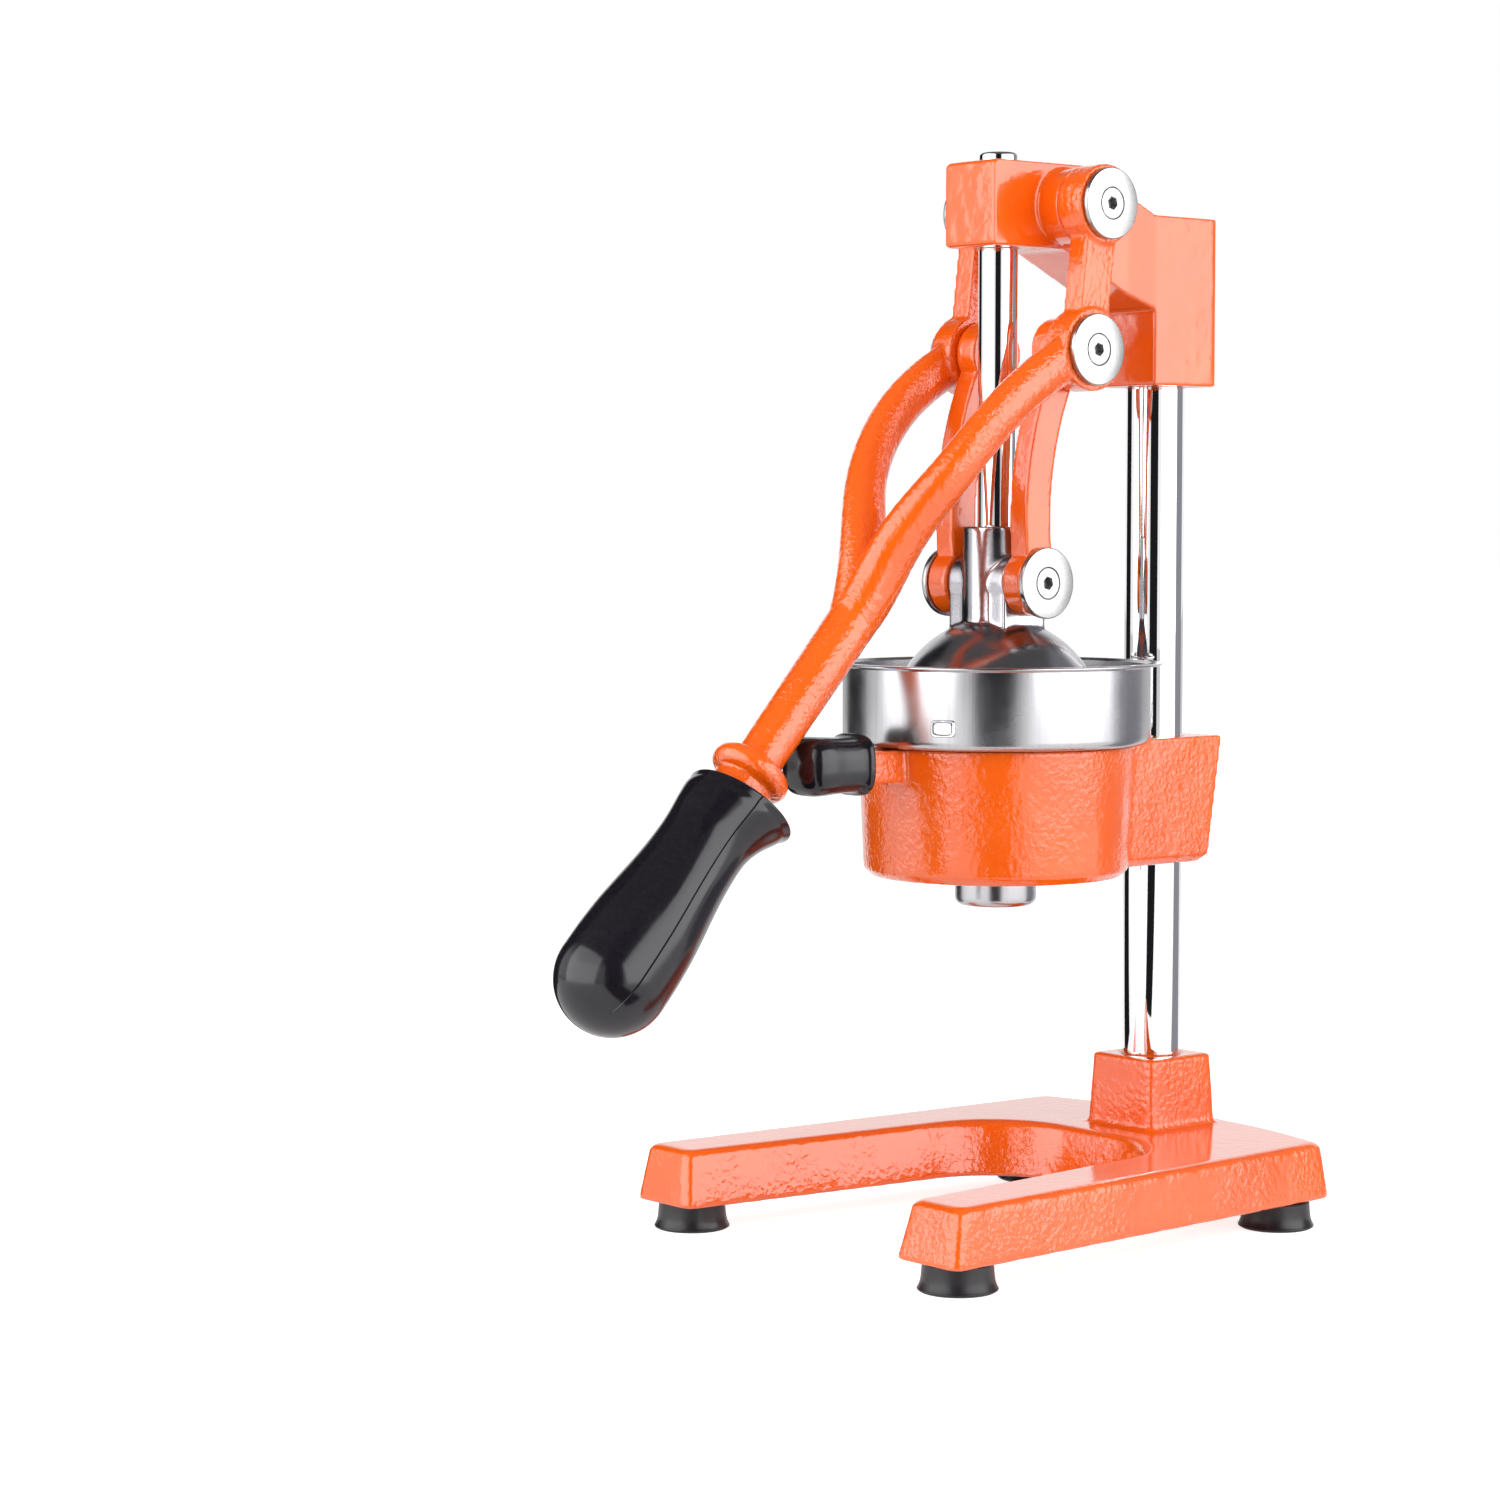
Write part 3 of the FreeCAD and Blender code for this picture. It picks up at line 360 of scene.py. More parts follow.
class Finishes:
    """All finishes of the press, one material each."""

    def __init__(self) -> None:
        """Builds the materials."""
        self.base = Enamel("enamel_base", 0.00055, 440, 0.00003, 0.00002, 0.04).material()
        self.head = Enamel("enamel_head", 0.00010, 240, 0.000012, 0.00001).material()
        self.lever = Enamel("enamel_lever", 0.00065, 560, 0.00005, 0.00004).material()
        self.link = Enamel("enamel_link", 0.00016, 420, 0.00002, 0.00006).material()
        self.carrier = Enamel("enamel_carrier", 0.00056, 540, 0.00004, 0.00001).material()
        self.chrome = Chrome("chrome_plate").material()
        self.cast = Drawn("polished_casting", (0.48, 0.47, 0.50), (0.14, 0.26), (1, 1, 1), 0.00008, 900).material()
        self.sheet = Drawn("brushed_sheet", (0.54, 0.535, 0.555), (0.2, 0.3), (1, 1, 0.012), 0.00002, 700).material()
        self.strainer = Drawn("drawn_strainer", (0.5, 0.5, 0.51), (0.18, 0.3), (1, 1, 1), 0.00001).material()
        self.disc = Drawn("turned_disc", (0.47, 0.465, 0.465), (0.18, 0.28), (0.3, 1, 1), 0.000006, 900).material()
        self.screw = Drawn("bright_screw", (0.44, 0.44, 0.45), (0.18, 0.3), (1, 1, 1), 0.00001, 1800).material()
        self.pin = Drawn("ground_pin", (0.62, 0.62, 0.64), (0.2, 0.32), (0.1, 1, 1), 0.00001, 1400).material()
        self.bronze = Drawn("sintered_bronze", (0.55, 0.36, 0.17), (0.3, 0.45), (1, 1, 1), 0.00002, 2600).material()
        self.grip = Moulded("black_gloss", (0.0085, 0.0070, 0.0105), (0.10, 0.2), 0.000006, 1600).material()
        self.rubber = Moulded("black_rubber", (0.008, 0.0068, 0.0095), (0.28, 0.4), 0.00002, 2200).material()


# ---------------------------------------------------------------------------------------------
# Mesh building
# ---------------------------------------------------------------------------------------------
def mesh_object(name: str, mesh: bpy.types.Mesh, material: bpy.types.Material) -> bpy.types.Object:
    """Adds an object at the origin for a mesh and gives it its one material."""
    mesh.materials.clear()
    mesh.materials.append(material)
    piece = bpy.data.objects.new(name, mesh)
    bpy.context.scene.collection.objects.link(piece)
    return piece


def baked(piece: bpy.types.Object) -> bpy.types.Object:
    """Turns a piece with live modifiers into a plain mesh."""
    graph = bpy.context.evaluated_depsgraph_get()
    mesh = bpy.data.meshes.new_from_object(piece.evaluated_get(graph))
    old = piece.data
    material = old.materials[0]
    piece.modifiers.clear()
    piece.data = mesh
    mesh.materials.clear()
    mesh.materials.append(material)
    bpy.data.meshes.remove(old)
    return piece


def smooth(piece: bpy.types.Object, degrees: float = 40.0) -> bpy.types.Object:
    """Smooth shading with edges kept sharp above an angle."""
    mesh = piece.data
    mesh.polygons.foreach_set("use_smooth", [True] * len(mesh.polygons))
    mesh.set_sharp_from_angle(angle=math.radians(degrees))
    return piece


def node_mesh(names: Iterable[str]) -> bpy.types.Mesh:
    """Merged copy of solid nodes' meshes, with their doubles removed."""
    shape = bmesh.new()
    for name in names:
        shape.from_mesh(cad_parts[name].data)
    bmesh.ops.remove_doubles(shape, verts=shape.verts, dist=1e-6)
    mesh = bpy.data.meshes.new("copy")
    shape.to_mesh(mesh)
    shape.free()
    return mesh


@dataclass(frozen=True)
class Casting:
    """A solid node re-skinned with the soft edges of a sand casting.

    Attributes:
        node: the solid node it stands for.
        voxel: size of the new skin's cells in metres.
        relax: rounds of smoothing, which set the radius of the edges.
        relief: height of the sand's relief in metres.
        wave: size of its bumps in metres.
    """

    node: str
    voxel: float
    relax: int
    relief: float = 0.0
    wave: float = 0.004

    def build(self, material: bpy.types.Material) -> bpy.types.Object:
        """Builds the casting's piece."""
        piece = mesh_object(f"{self.node}_skin", node_mesh([self.node]), material)
        remesh = piece.modifiers.new("skin", "REMESH")
        remesh.mode = "VOXEL"
        remesh.voxel_size = self.voxel
        relax = piece.modifiers.new("relax", "SMOOTH")
        relax.factor = 0.5
        relax.iterations = self.relax
        if self.relief:
            sand = bpy.data.textures.new(f"{self.node}_sand", "CLOUDS")
            sand.noise_scale = self.wave
            sand.noise_depth = 1
            bumps = piece.modifiers.new("relief", "DISPLACE")
            bumps.texture = sand
            bumps.texture_coords = "LOCAL"
            bumps.strength = self.relief
        return smooth(baked(piece), 180)


def lathe(profile: Sequence[tuple[float, float]], base: Vector, axis: Vector, segments: int = 96,
          shape: Optional[Callable[[float, float, float], float]] = None) -> bpy.types.Mesh:
    """Mesh of revolution.

    Args:
        profile: closed or open outline of (distance along the axis, radius); ends at radius 0 close it.
        base: point where the distance is 0.
        axis: direction of the axis.
        segments: steps round it.
        shape: changes the radius for a distance, a radius and an angle.

    Returns:
        The mesh, with outward faces.
    """
    axis = axis.normalized()
    first = axis.orthogonal().normalized() if abs(axis.x) > 0.9 else axis.cross(Vector((1, 0, 0))).normalized()
    second = axis.cross(first)
    mesh_data = bmesh.new()
    rings = []
    for along, radius in profile:
        if radius < 1e-9:
            rings.append([mesh_data.verts.new(base + axis * along)])
            continue
        ring = []
        for step in range(segments):
            angle = 2 * math.pi * step / segments
            here = shape(along, radius, angle) if shape else radius
            ring.append(mesh_data.verts.new(base + axis * along + (first * math.cos(angle)
                                                                   + second * math.sin(angle)) * here))
        rings.append(ring)
    for low, high in zip(rings, rings[1:]):
        bridge(mesh_data, low, high)
    if profile[0][1] > 1e-9 and profile[-1][1] > 1e-9 and profile[0] == profile[-1]:
        bmesh.ops.remove_doubles(mesh_data, verts=mesh_data.verts, dist=1e-7)
    bmesh.ops.recalc_face_normals(mesh_data, faces=mesh_data.faces)
    mesh = bpy.data.meshes.new("lathe")
    mesh_data.to_mesh(mesh)
    mesh_data.free()
    return mesh


def bridge(shape: bmesh.types.BMesh, low: list, high: list) -> None:
    """Faces between two closed rings, either of which may be a single point."""
    count = max(len(low), len(high))
    for step in range(count):
        after = (step + 1) % count
        if len(low) == 1:
            shape.faces.new((low[0], high[after], high[step]))
        elif len(high) == 1:
            shape.faces.new((low[step], low[after], high[0]))
        else:
            shape.faces.new((low[step], low[after], high[after], high[step]))


def arc(centre: tuple[float, float], radius: float, start: float, end: float, steps: int) -> list[tuple[float, float]]:
    """Points of an arc in a (distance, radius) outline; angles in degrees from the axis."""
    points = []
    for step in range(steps + 1):
        angle = math.radians(start + (end - start) * step / steps)
        points.append((centre[0] + radius * math.cos(angle), centre[1] + radius * math.sin(angle)))
    return points


def bevelled_bar(length: float, radius: float, edge: float, steps: int = 4) -> list[tuple[float, float]]:
    """Outline of a solid bar with rounded end edges."""
    low = arc((edge, radius - edge), edge, 180, 90, steps)
    high = arc((length - edge, radius - edge), edge, 90, 0, steps)
    return [(0, 0), *low, *high, (length, 0)]


# ---------------------------------------------------------------------------------------------
# The press
# ---------------------------------------------------------------------------------------------
class Body(str, Enum):
    """Moving bodies of the press."""

    ROOT = "root"
    LEVER = "lever"
    PRESS = "press"
    LINK_LEFT = "link_left"
    LINK_RIGHT = "link_right"


@dataclass
class SubAssembly:
    """Base of the sub-assemblies: it holds the finishes, hangs pieces on their bodies and dresses solid nodes."""

    finishes: Finishes

    def keep(self, piece: bpy.types.Object, body: Body, slot: str, *nodes: str) -> None:
        """Makes a piece ride on its body and stand for its solid nodes.

        Args:
            piece: the finished piece.
            body: the body that carries it.
            slot: not used.
            *nodes: solid nodes that it replaces.
        """
        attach(piece, body.value)
        if nodes:
            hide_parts(*nodes)
        LOG.info("%s rides on %s, %d faces", piece.name, body.value, len(piece.data.polygons))

    def dress(self, node: str, material: bpy.types.Material) -> None:
        """Gives a solid node that stays in view its finish."""
        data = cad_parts[node].data
        data.materials.clear()
        data.materials.append(material)


@dataclass
class Frame(SubAssembly):
    """Base, feet, column and head."""

    foot_round: float = 0.5 * MM
    foot_waist: float = 0.9 * MM
    foot_top: float = 12.6 * MM
    foot_recess: tuple[float, float] = (5.2 * MM, 4.6 * MM)

    def build(self) -> None:
        """Builds the standing frame."""
        done = self.finishes
        base = Casting("base_casting", 1.1 * MM, 3, 0.08 * MM, 3 * MM)
        self.keep(base.build(done.base), Body.ROOT, "painted_base", base.node)
        head = Casting("head_casting", 0.7 * MM, 4, 0.1 * MM, 7 * MM)
        self.keep(head.build(done.head), Body.ROOT, "painted_head", head.node)
        bar = lathe(bevelled_bar(COLUMN.size.z, COLUMN.size.x / 2, 0.5 * MM),
                    Vector((0, COLUMN.mid.y, COLUMN.low.z)), Vector((0, 0, 1)), 160)
        self.keep(smooth(mesh_object("column_bar", bar, done.chrome), 50), Body.ROOT, "chrome_bar", "column")
        for node in ("foot_front_left", "foot_front_right", "foot_rear_left", "foot_rear_right"):
            self.foot(node)
        for node in ("foot_screws", "column_bolt", "column_washer", "head_set_screws", "carrier_set_screw"):
            self.dress(node, done.screw)
        self.dress("guide_bush", done.bronze)

    def foot(self, node: str) -> None:
        """Rubber foot with its lip, waist and screw recess."""
        span = Span.of(node)
        radius, height, soft = span.size.x / 2, span.size.z, self.foot_round
        bore, depth = self.foot_recess
        taper = spline([(soft, radius - 0.2 * MM), (2 * soft, radius), (3.4 * soft, radius - 0.4 * MM),
                        (height * 0.35, radius - self.foot_waist - 0.2 * MM),
                        (height * 0.6, self.foot_top + 0.25 * MM), (height - soft, self.foot_top)], 4)
        profile = [(depth, 0), (depth, bore), (soft, bore), (0, bore + soft), (0, radius - 1.1 * MM), *taper,
                   (height, self.foot_top - soft), (height, 0)]
        mesh = lathe(profile, Vector((span.mid.x, span.mid.y, 0)), Vector((0, 0, 1)), 72)
        self.keep(smooth(mesh_object(f"{node}_rubber", mesh, self.finishes.rubber), 35), Body.ROOT, "black_rubber",
                  node)


@dataclass
class Pivots(SubAssembly):
    """Discs, screws, pins and bushes of the pivots."""

    bodies: dict[str, Body] = field(default_factory=lambda: {
        "fulcrum": Body.ROOT, "crank": Body.LEVER, "lug": Body.PRESS})
    disc_edge: float = 0.45 * MM
    seat_radius: float = 6.15 * MM
    seat_edge: float = 0.2 * MM
    seat_foot: float = 4.9 * MM
    head_radius: float = 5.7 * MM
    shank_radius: float = 3.0 * MM
    socket_radius: float = 2.42 * MM
    socket_depth: float = 2.4 * MM

    def build(self) -> None:
        """Builds the discs and screws and dresses the pins and bushes."""
        done = self.finishes
        for pivot, body in self.bodies.items():
            for side, sign in (("left", -1), ("right", 1)):
                self.disc(f"{pivot}_disc_{side}", sign, body)
                self.screw(f"{pivot}_screw_{side}", sign, body)
        for node in ("fulcrum_axle", "crank_pin_left", "crank_pin_right", "lug_pin_left", "lug_pin_right",
                     "link_pin_left", "link_pin_right"):
            self.dress(node, done.pin)
        for node in ("lever_bush_left", "lever_bush_right", "link_bush_left", "link_bush_right"):
            self.dress(node, done.bronze)

    def disc(self, node: str, sign: int, body: Body) -> None:
        """Turned steel disc with a broken edge and a countersunk seat."""
        span = Span.of(node)
        thick, radius, edge = span.size.x, span.size.z / 2, self.disc_edge
        profile = [(0, self.seat_foot), *arc((edge, radius - edge), edge, 180, 90, 4),
                   *arc((thick - edge, radius - edge), edge, 90, 0, 4),
                   (thick, self.seat_radius), (thick - self.seat_edge, self.seat_radius - self.seat_edge),
                   (0, self.seat_foot)]
        inner = Vector((span.low.x if sign > 0 else span.high.x, span.mid.y, span.mid.z))
        mesh = lathe(profile, inner, Vector((sign, 0, 0)), 120)
        self.keep(smooth(mesh_object(f"{node}_face", mesh, self.finishes.disc), 35), body, "steel_disc", node)

    def screw(self, node: str, sign: int, body: Body) -> None:
        """Countersunk screw with a hexagon socket."""
        span = Span.of(node)
        long, top, edge = span.size.x, self.head_radius, self.seat_edge
        cone = top - self.shank_radius
        profile = [(0, 0), (0, self.shank_radius - edge), (edge, self.shank_radius),
                   (long - cone - edge, self.shank_radius), (long - 2 * edge, top - edge), (long - edge, top),
                   (long, top - edge), (long, self.socket_radius + edge), (long - edge, self.socket_radius),
                   (long - self.socket_depth, self.socket_radius), (long - self.socket_depth, 0)]
        inner = Vector((span.low.x if sign > 0 else span.high.x, span.mid.y, span.mid.z))
        mesh = lathe(profile, inner, Vector((sign, 0, 0)), 72, self.hexagon)
        self.keep(smooth(mesh_object(f"{node}_head", mesh, self.finishes.screw), 35), body, "steel_screw", node)

    def hexagon(self, along: float, radius: float, angle: float) -> float:
        """Radius at an angle, which turns the socket's circle into a hexagon."""
        if not self.socket_radius - 1e-9 < radius < self.socket_radius + self.seat_edge + 1e-9:
            return radius
        sector = math.radians(60)
        return radius * math.cos(sector / 2) / math.cos(angle % sector - sector / 2)


@dataclass
class Lever(SubAssembly):
    """Lever casting and its grip.

    Attributes:
        tilt: slope of the grip's axis above the horizontal, in degrees.
        outline: grip's distance from the bulb's centre and radius, from the bulb to the mouth.
        flare: how much the mouth's lip stands out towards the press.
        seam_turn: where the moulding seams lie, in degrees from that side.
    """

    tilt: float = 47.9
    bulb: float = 20.6 * MM
    mouth: float = 81 * MM
    hollow: float = 11.4 * MM
    outline: tuple[tuple[float, float], ...] = ((9, 20.5), (20, 19.9), (29, 18.9), (38, 17.7), (47, 16.7),
                                                (56, 16.2), (63, 16.3), (70, 16.8), (75.5, 16.9), (78.5, 16.2))
    flare: float = 9.4 * MM
    flare_from: float = 58 * MM
    steady_outline: tuple[tuple[float, float], ...] = ((0, 0.9), (0.02, 0.97), (0.05, 1.0), (0.09, 0.98), (0.13, 0.92),
                                                       (0.2, 0.88), (0.45, 0.9), (0.7, 0.94), (0.84, 0.92),
                                                       (0.92, 0.8), (0.97, 0.62), (1.0, 0.3))
    steady_power: float = 3.2
    seam_turn: int = 99
    seam_depth: float = 0.28 * MM
    segments: int = 360

    def build(self) -> None:
        """Builds the lever."""
        done = self.finishes
        lever = Casting("lever_casting", 0.7 * MM, 3, 0.2 * MM, 2.6 * MM)
        self.keep(lever.build(done.lever), Body.LEVER, "painted_lever", lever.node)
        self.grip()
        self.steady()

    def grip(self) -> None:
        """Grip turned round the stem's axis, with a lip and two moulding seams."""
        slope = math.radians(self.tilt)
        axis = Vector((0, math.cos(slope), math.sin(slope)))
        bulb = Span.of("main_grip").low + Vector((self.bulb, self.bulb, self.bulb))
        round_end = [(-self.bulb, 0)] + arc((0, 0), self.bulb, 174, 92, 16)
        body = spline([round_end[-1], *((x * MM, y * MM) for x, y in self.outline)], 5)
        lip = 1.3 * MM
        last = body[-1][1]
        edge = arc((self.mouth - lip, last - lip + 0.2 * MM), lip, 75, 0, 6)
        inside = [(self.mouth, self.hollow + lip), *arc((self.mouth - lip, self.hollow + lip), lip, 0, -90, 4),
                  (self.mouth - 6 * MM, self.hollow), (self.mouth - 6 * MM, 0)]
        mesh = lathe(round_end[:-1] + body + edge + inside, bulb, axis, self.segments, self.section)
        self.keep(smooth(mesh_object("main_grip_moulding", mesh, self.finishes.grip), 32), Body.LEVER, "black_grip",
                  "main_grip")

    def section(self, along: float, radius: float, angle: float) -> float:
        """Radius of the grip at a distance and an angle.

        Args:
            along: distance from the bulb's centre.
            radius: radius of the plain outline there.
            angle: turn from the side that faces the press.

        Returns:
            The radius with the lip's flare and the seams.
        """
        if radius < self.hollow * 1.2:
            return radius
        rise = max(0.0, (along - self.flare_from) / (self.mouth - self.flare_from))
        side = (0.5 + 0.5 * math.cos(angle)) ** 1.2
        out = radius + self.flare * side * rise ** 2.4
        turn = round(math.degrees(angle)) % 360
        if turn in (self.seam_turn, 360 - self.seam_turn) and along > -0.9 * self.bulb:
            out -= self.seam_depth
        return out

    def steady(self) -> None:
        """Short moulded grip with a bulging end and a lip at the carrier."""
        span = Span.of("steady_grip")
        long = span.size.y
        profile = [(0, 0), *((share * long, scale) for share, scale in spline(self.steady_outline, 4)), (long, 0)]
        mesh = lathe(profile, Vector((span.mid.x, span.high.y, span.mid.z)), Vector((0, -1, 0)), 96, self.oblong)
        self.keep(smooth(mesh_object("steady_grip_moulding", mesh, self.finishes.grip), 40), Body.ROOT, "black_grip",
                  "steady_grip")

    def oblong(self, along: float, scale: float, angle: float) -> float:
        """Radius of the steady grip's rounded section at an angle."""
        size, power = Span.of("steady_grip").size, self.steady_power
        up, across = abs(math.cos(angle)) * 2 / size.z, abs(math.sin(angle)) * 2 / size.x
        return scale * (up ** power + across ** power) ** (-1 / power)


def spline(points: Sequence[tuple[float, float]], steps: int) -> list[tuple[float, float]]:
    """Smooth line through points.

    Args:
        points: (distance, radius) stations.
        steps: pieces between two stations.

    Returns:
        The stations and the points between them.
    """
    out = []
    for index in range(len(points) - 1):
        before = points[max(index - 1, 0)]
        start, end = points[index], points[index + 1]
        after = points[min(index + 2, len(points) - 1)]
        for step in range(steps):
            t = step / steps
            out.append(tuple(0.5 * (2 * b + (c - a) * t + (2 * a - 5 * b + 4 * c - d) * t * t
                                    + (3 * b - a - 3 * c + d) * t ** 3)
                             for a, b, c, d in zip(before, start, end, after)))
    out.append(tuple(points[-1]))
    return out


@dataclass
class Press(SubAssembly):
    """Rod, dome and links."""

    rod_edge: float = 1.3 * MM

    def build(self) -> None:
        """Builds the sliding press and the links."""
        done = self.finishes
        bar = lathe(bevelled_bar(ROD.size.z, ROD.size.x / 2, self.rod_edge),
                    Vector((ROD.mid.x, ROD.mid.y, ROD.low.z)), Vector((0, 0, 1)), 128)
        self.keep(smooth(mesh_object("rod_bar", bar, done.chrome), 50), Body.PRESS, "chrome_bar", "press_rod")
        cup = Casting("press_cup", 0.72 * MM, 7)
        self.keep(cup.build(done.cast), Body.PRESS, "cast_press", cup.node)
        for body in (Body.LINK_LEFT, Body.LINK_RIGHT):
            link = Casting(body.value, 0.6 * MM, 5, 0.1 * MM, 6 * MM)
            self.keep(link.build(done.link), body, "painted_link", link.node)


@dataclass
class Bowl(SubAssembly):
    """Carrier, juice cup and strainer.

    Attributes:
        tab_rings: outline scale and height of the steps of a pressed tab.
        hole_rows: ring radius and number of the strainer's holes.
    """

    wall: float = 1.0 * MM
    shoulder: float = 60.9 * MM
    well_depth: float = 17 * MM
    well_radius: float = 46 * MM
    body_radius: float = 57.7 * MM
    spout_radius: float = 15.3 * MM
    spout_neck: float = 18 * MM
    spout_bore: float = 11 * MM
    corner: float = 3.2 * MM
    tab_size: tuple[float, float] = (9.5 * MM, 6.4 * MM)
    tab_up: float = 69.2 * MM
    tab_turn: float = -62.8
    tab_rings: tuple[tuple[float, float], ...] = ((1.0, -0.3), (0.97, 0.45), (0.9, 0.75), (0.8, 0.75), (0.7, 0.5),
                                                  (0.64, 0.15), (0.3, 0.12), (0.0, 0.12))
    plate_radius: float = 54 * MM
    reamer_radius: float = 27 * MM
    reamer_rise: float = 30 * MM
    reamer_top: float = 6 * MM
    rib_count: int = 10
    rib_depth: float = 0.12
    hole_radius: float = 1.5 * MM
    hole_rows: tuple[tuple[float, int], ...] = ((31, 32), (35.5, 38), (40, 44), (44.2, 50))

    def build(self) -> None:
        """Builds the bowl."""
        done = self.finishes
        carrier = Casting("bowl_carrier", 0.86 * MM, 4, 0.16 * MM, 2.2 * MM)
        self.keep(carrier.build(done.carrier), Body.ROOT, "painted_carrier", carrier.node)
        self.cup()
        self.strainer()

    def cup(self) -> None:
        """Drawn steel cup with a rolled rim and pressed tabs."""
        span = Span.of("juice_cup")
        high, rim, wall, bend = span.size.z, span.size.x / 2, self.wall, self.corner
        well = self.shoulder - self.well_depth
        roll = 0.55 * MM
        outside = [(0, self.spout_bore), *arc((bend, self.spout_radius - bend), bend, 180, 90, 6),
                   (self.spout_neck, self.spout_radius), (well, self.well_radius), (self.shoulder, self.well_radius),
                   *arc((self.shoulder + bend, self.body_radius - bend), bend, 180, 90, 6),
                   (high - wall - 0.8 * MM, self.body_radius), (high - wall, self.body_radius + 0.8 * MM),
                   (high - wall - 0.1 * MM, rim - roll)]
        lip = arc((high - roll, rim - roll), roll, 150, 0, 8)
        inside = [(high, self.body_radius), (high - 1 * MM, self.body_radius - wall),
                  *arc((self.shoulder + bend, self.body_radius - bend), bend - wall, 90, 180, 5),
                  (self.shoulder + wall, self.well_radius - wall), (well + 0.4 * MM, self.well_radius - wall),
                  (self.spout_neck + 0.4 * MM, self.spout_radius - wall),
                  *arc((bend, self.spout_radius - bend), bend - wall, 90, 180, 5), (wall, self.spout_bore),
                  (0, self.spout_bore)]
        base = Vector((0, AXIS_Y, span.low.z))
        piece = mesh_object("juice_cup_sheet", lathe(outside + lip + inside, base, Vector((0, 0, 1)), 192),
                            self.finishes.sheet)
        shape = bmesh.new()
        shape.from_mesh(piece.data)
        for turn in range(3):
            self.tab(shape, base, math.radians(self.tab_turn + 120 * turn))
        shape.to_mesh(piece.data)
        shape.free()
        self.keep(smooth(piece, 38), Body.ROOT, "steel_sheet", "juice_cup")

    def tab(self, shape: bmesh.types.BMesh, base: Vector, turn: float) -> None:
        """Adds one pressed tab on the cup's wall."""
        rings, points = [], 48
        for scale, height in self.tab_rings:
            ring = []
            for step in range(points if scale else 1):
                angle = 2 * math.pi * step / points
                across, up = math.cos(angle), math.sin(angle)
                corner = (across ** 6 + up ** 6) ** (-1 / 6) * scale / 2
                around = turn + across * corner * self.tab_size[0] / self.body_radius
                out = self.body_radius + height * MM
                ring.append(shape.verts.new(base + Vector((out * math.cos(around), out * math.sin(around),
                                                           self.tab_up + up * corner * self.tab_size[1]))))
            rings.append(ring)
        for low, high in zip(rings, rings[1:]):
            bridge(shape, low, high)

    def strainer(self) -> None:
        """Perforated plate made by its node tree, with the ribbed reamer standing on it."""
        seat = Span.of("strainer").low.z
        done = self.finishes.strainer
        plate = mesh_object("strainer_plate", bpy.data.meshes.new("plate"), done)
        tree = Perforation(self.plate_radius, self.reamer_radius - 0.5 * MM, self.wall, self.hole_radius, done,
                           Vector((0, AXIS_Y, seat)))
        tree.grow(plate, self.hole_rows)
        shape = bmesh.new()
        shape.from_mesh(baked(plate).data)
        shape.from_mesh(self.reamer(seat))
        shape.to_mesh(plate.data)
        shape.free()
        self.keep(smooth(plate, 35), Body.ROOT, "steel_sheet", "strainer")

    def reamer(self, seat: float) -> bpy.types.Mesh:
        """Shell of the ribbed reamer."""
        foot, top, rise, wall = self.reamer_radius, self.reamer_top, self.reamer_rise, self.wall
        outer = spline([(0, foot), (rise * 0.12, foot * 0.97), (rise * 0.5, foot * 0.72), (rise * 0.82, foot * 0.38),
                        (rise * 0.97, top * 0.6)], 8)
        outer = outer + [(rise, 0)]
        inner = [(max(along - wall, 0.0), max(radius - wall, 0.0)) for along, radius in outer[:-1]]
        profile = outer[::-1] + inner + [(rise - wall, 0)]
        return lathe(profile, Vector((0, AXIS_Y, seat)), Vector((0, 0, 1)), 160, self.ribbed)

    def ribbed(self, along: float, radius: float, angle: float) -> float:
        """Radius of the reamer between and on its ribs."""
        share = math.sin(math.pi * min(max(along / self.reamer_rise, 0.0), 1.0)) ** 0.6
        return radius * (1 - self.rib_depth * share * (1 - abs(math.cos(angle * self.rib_count / 2))))


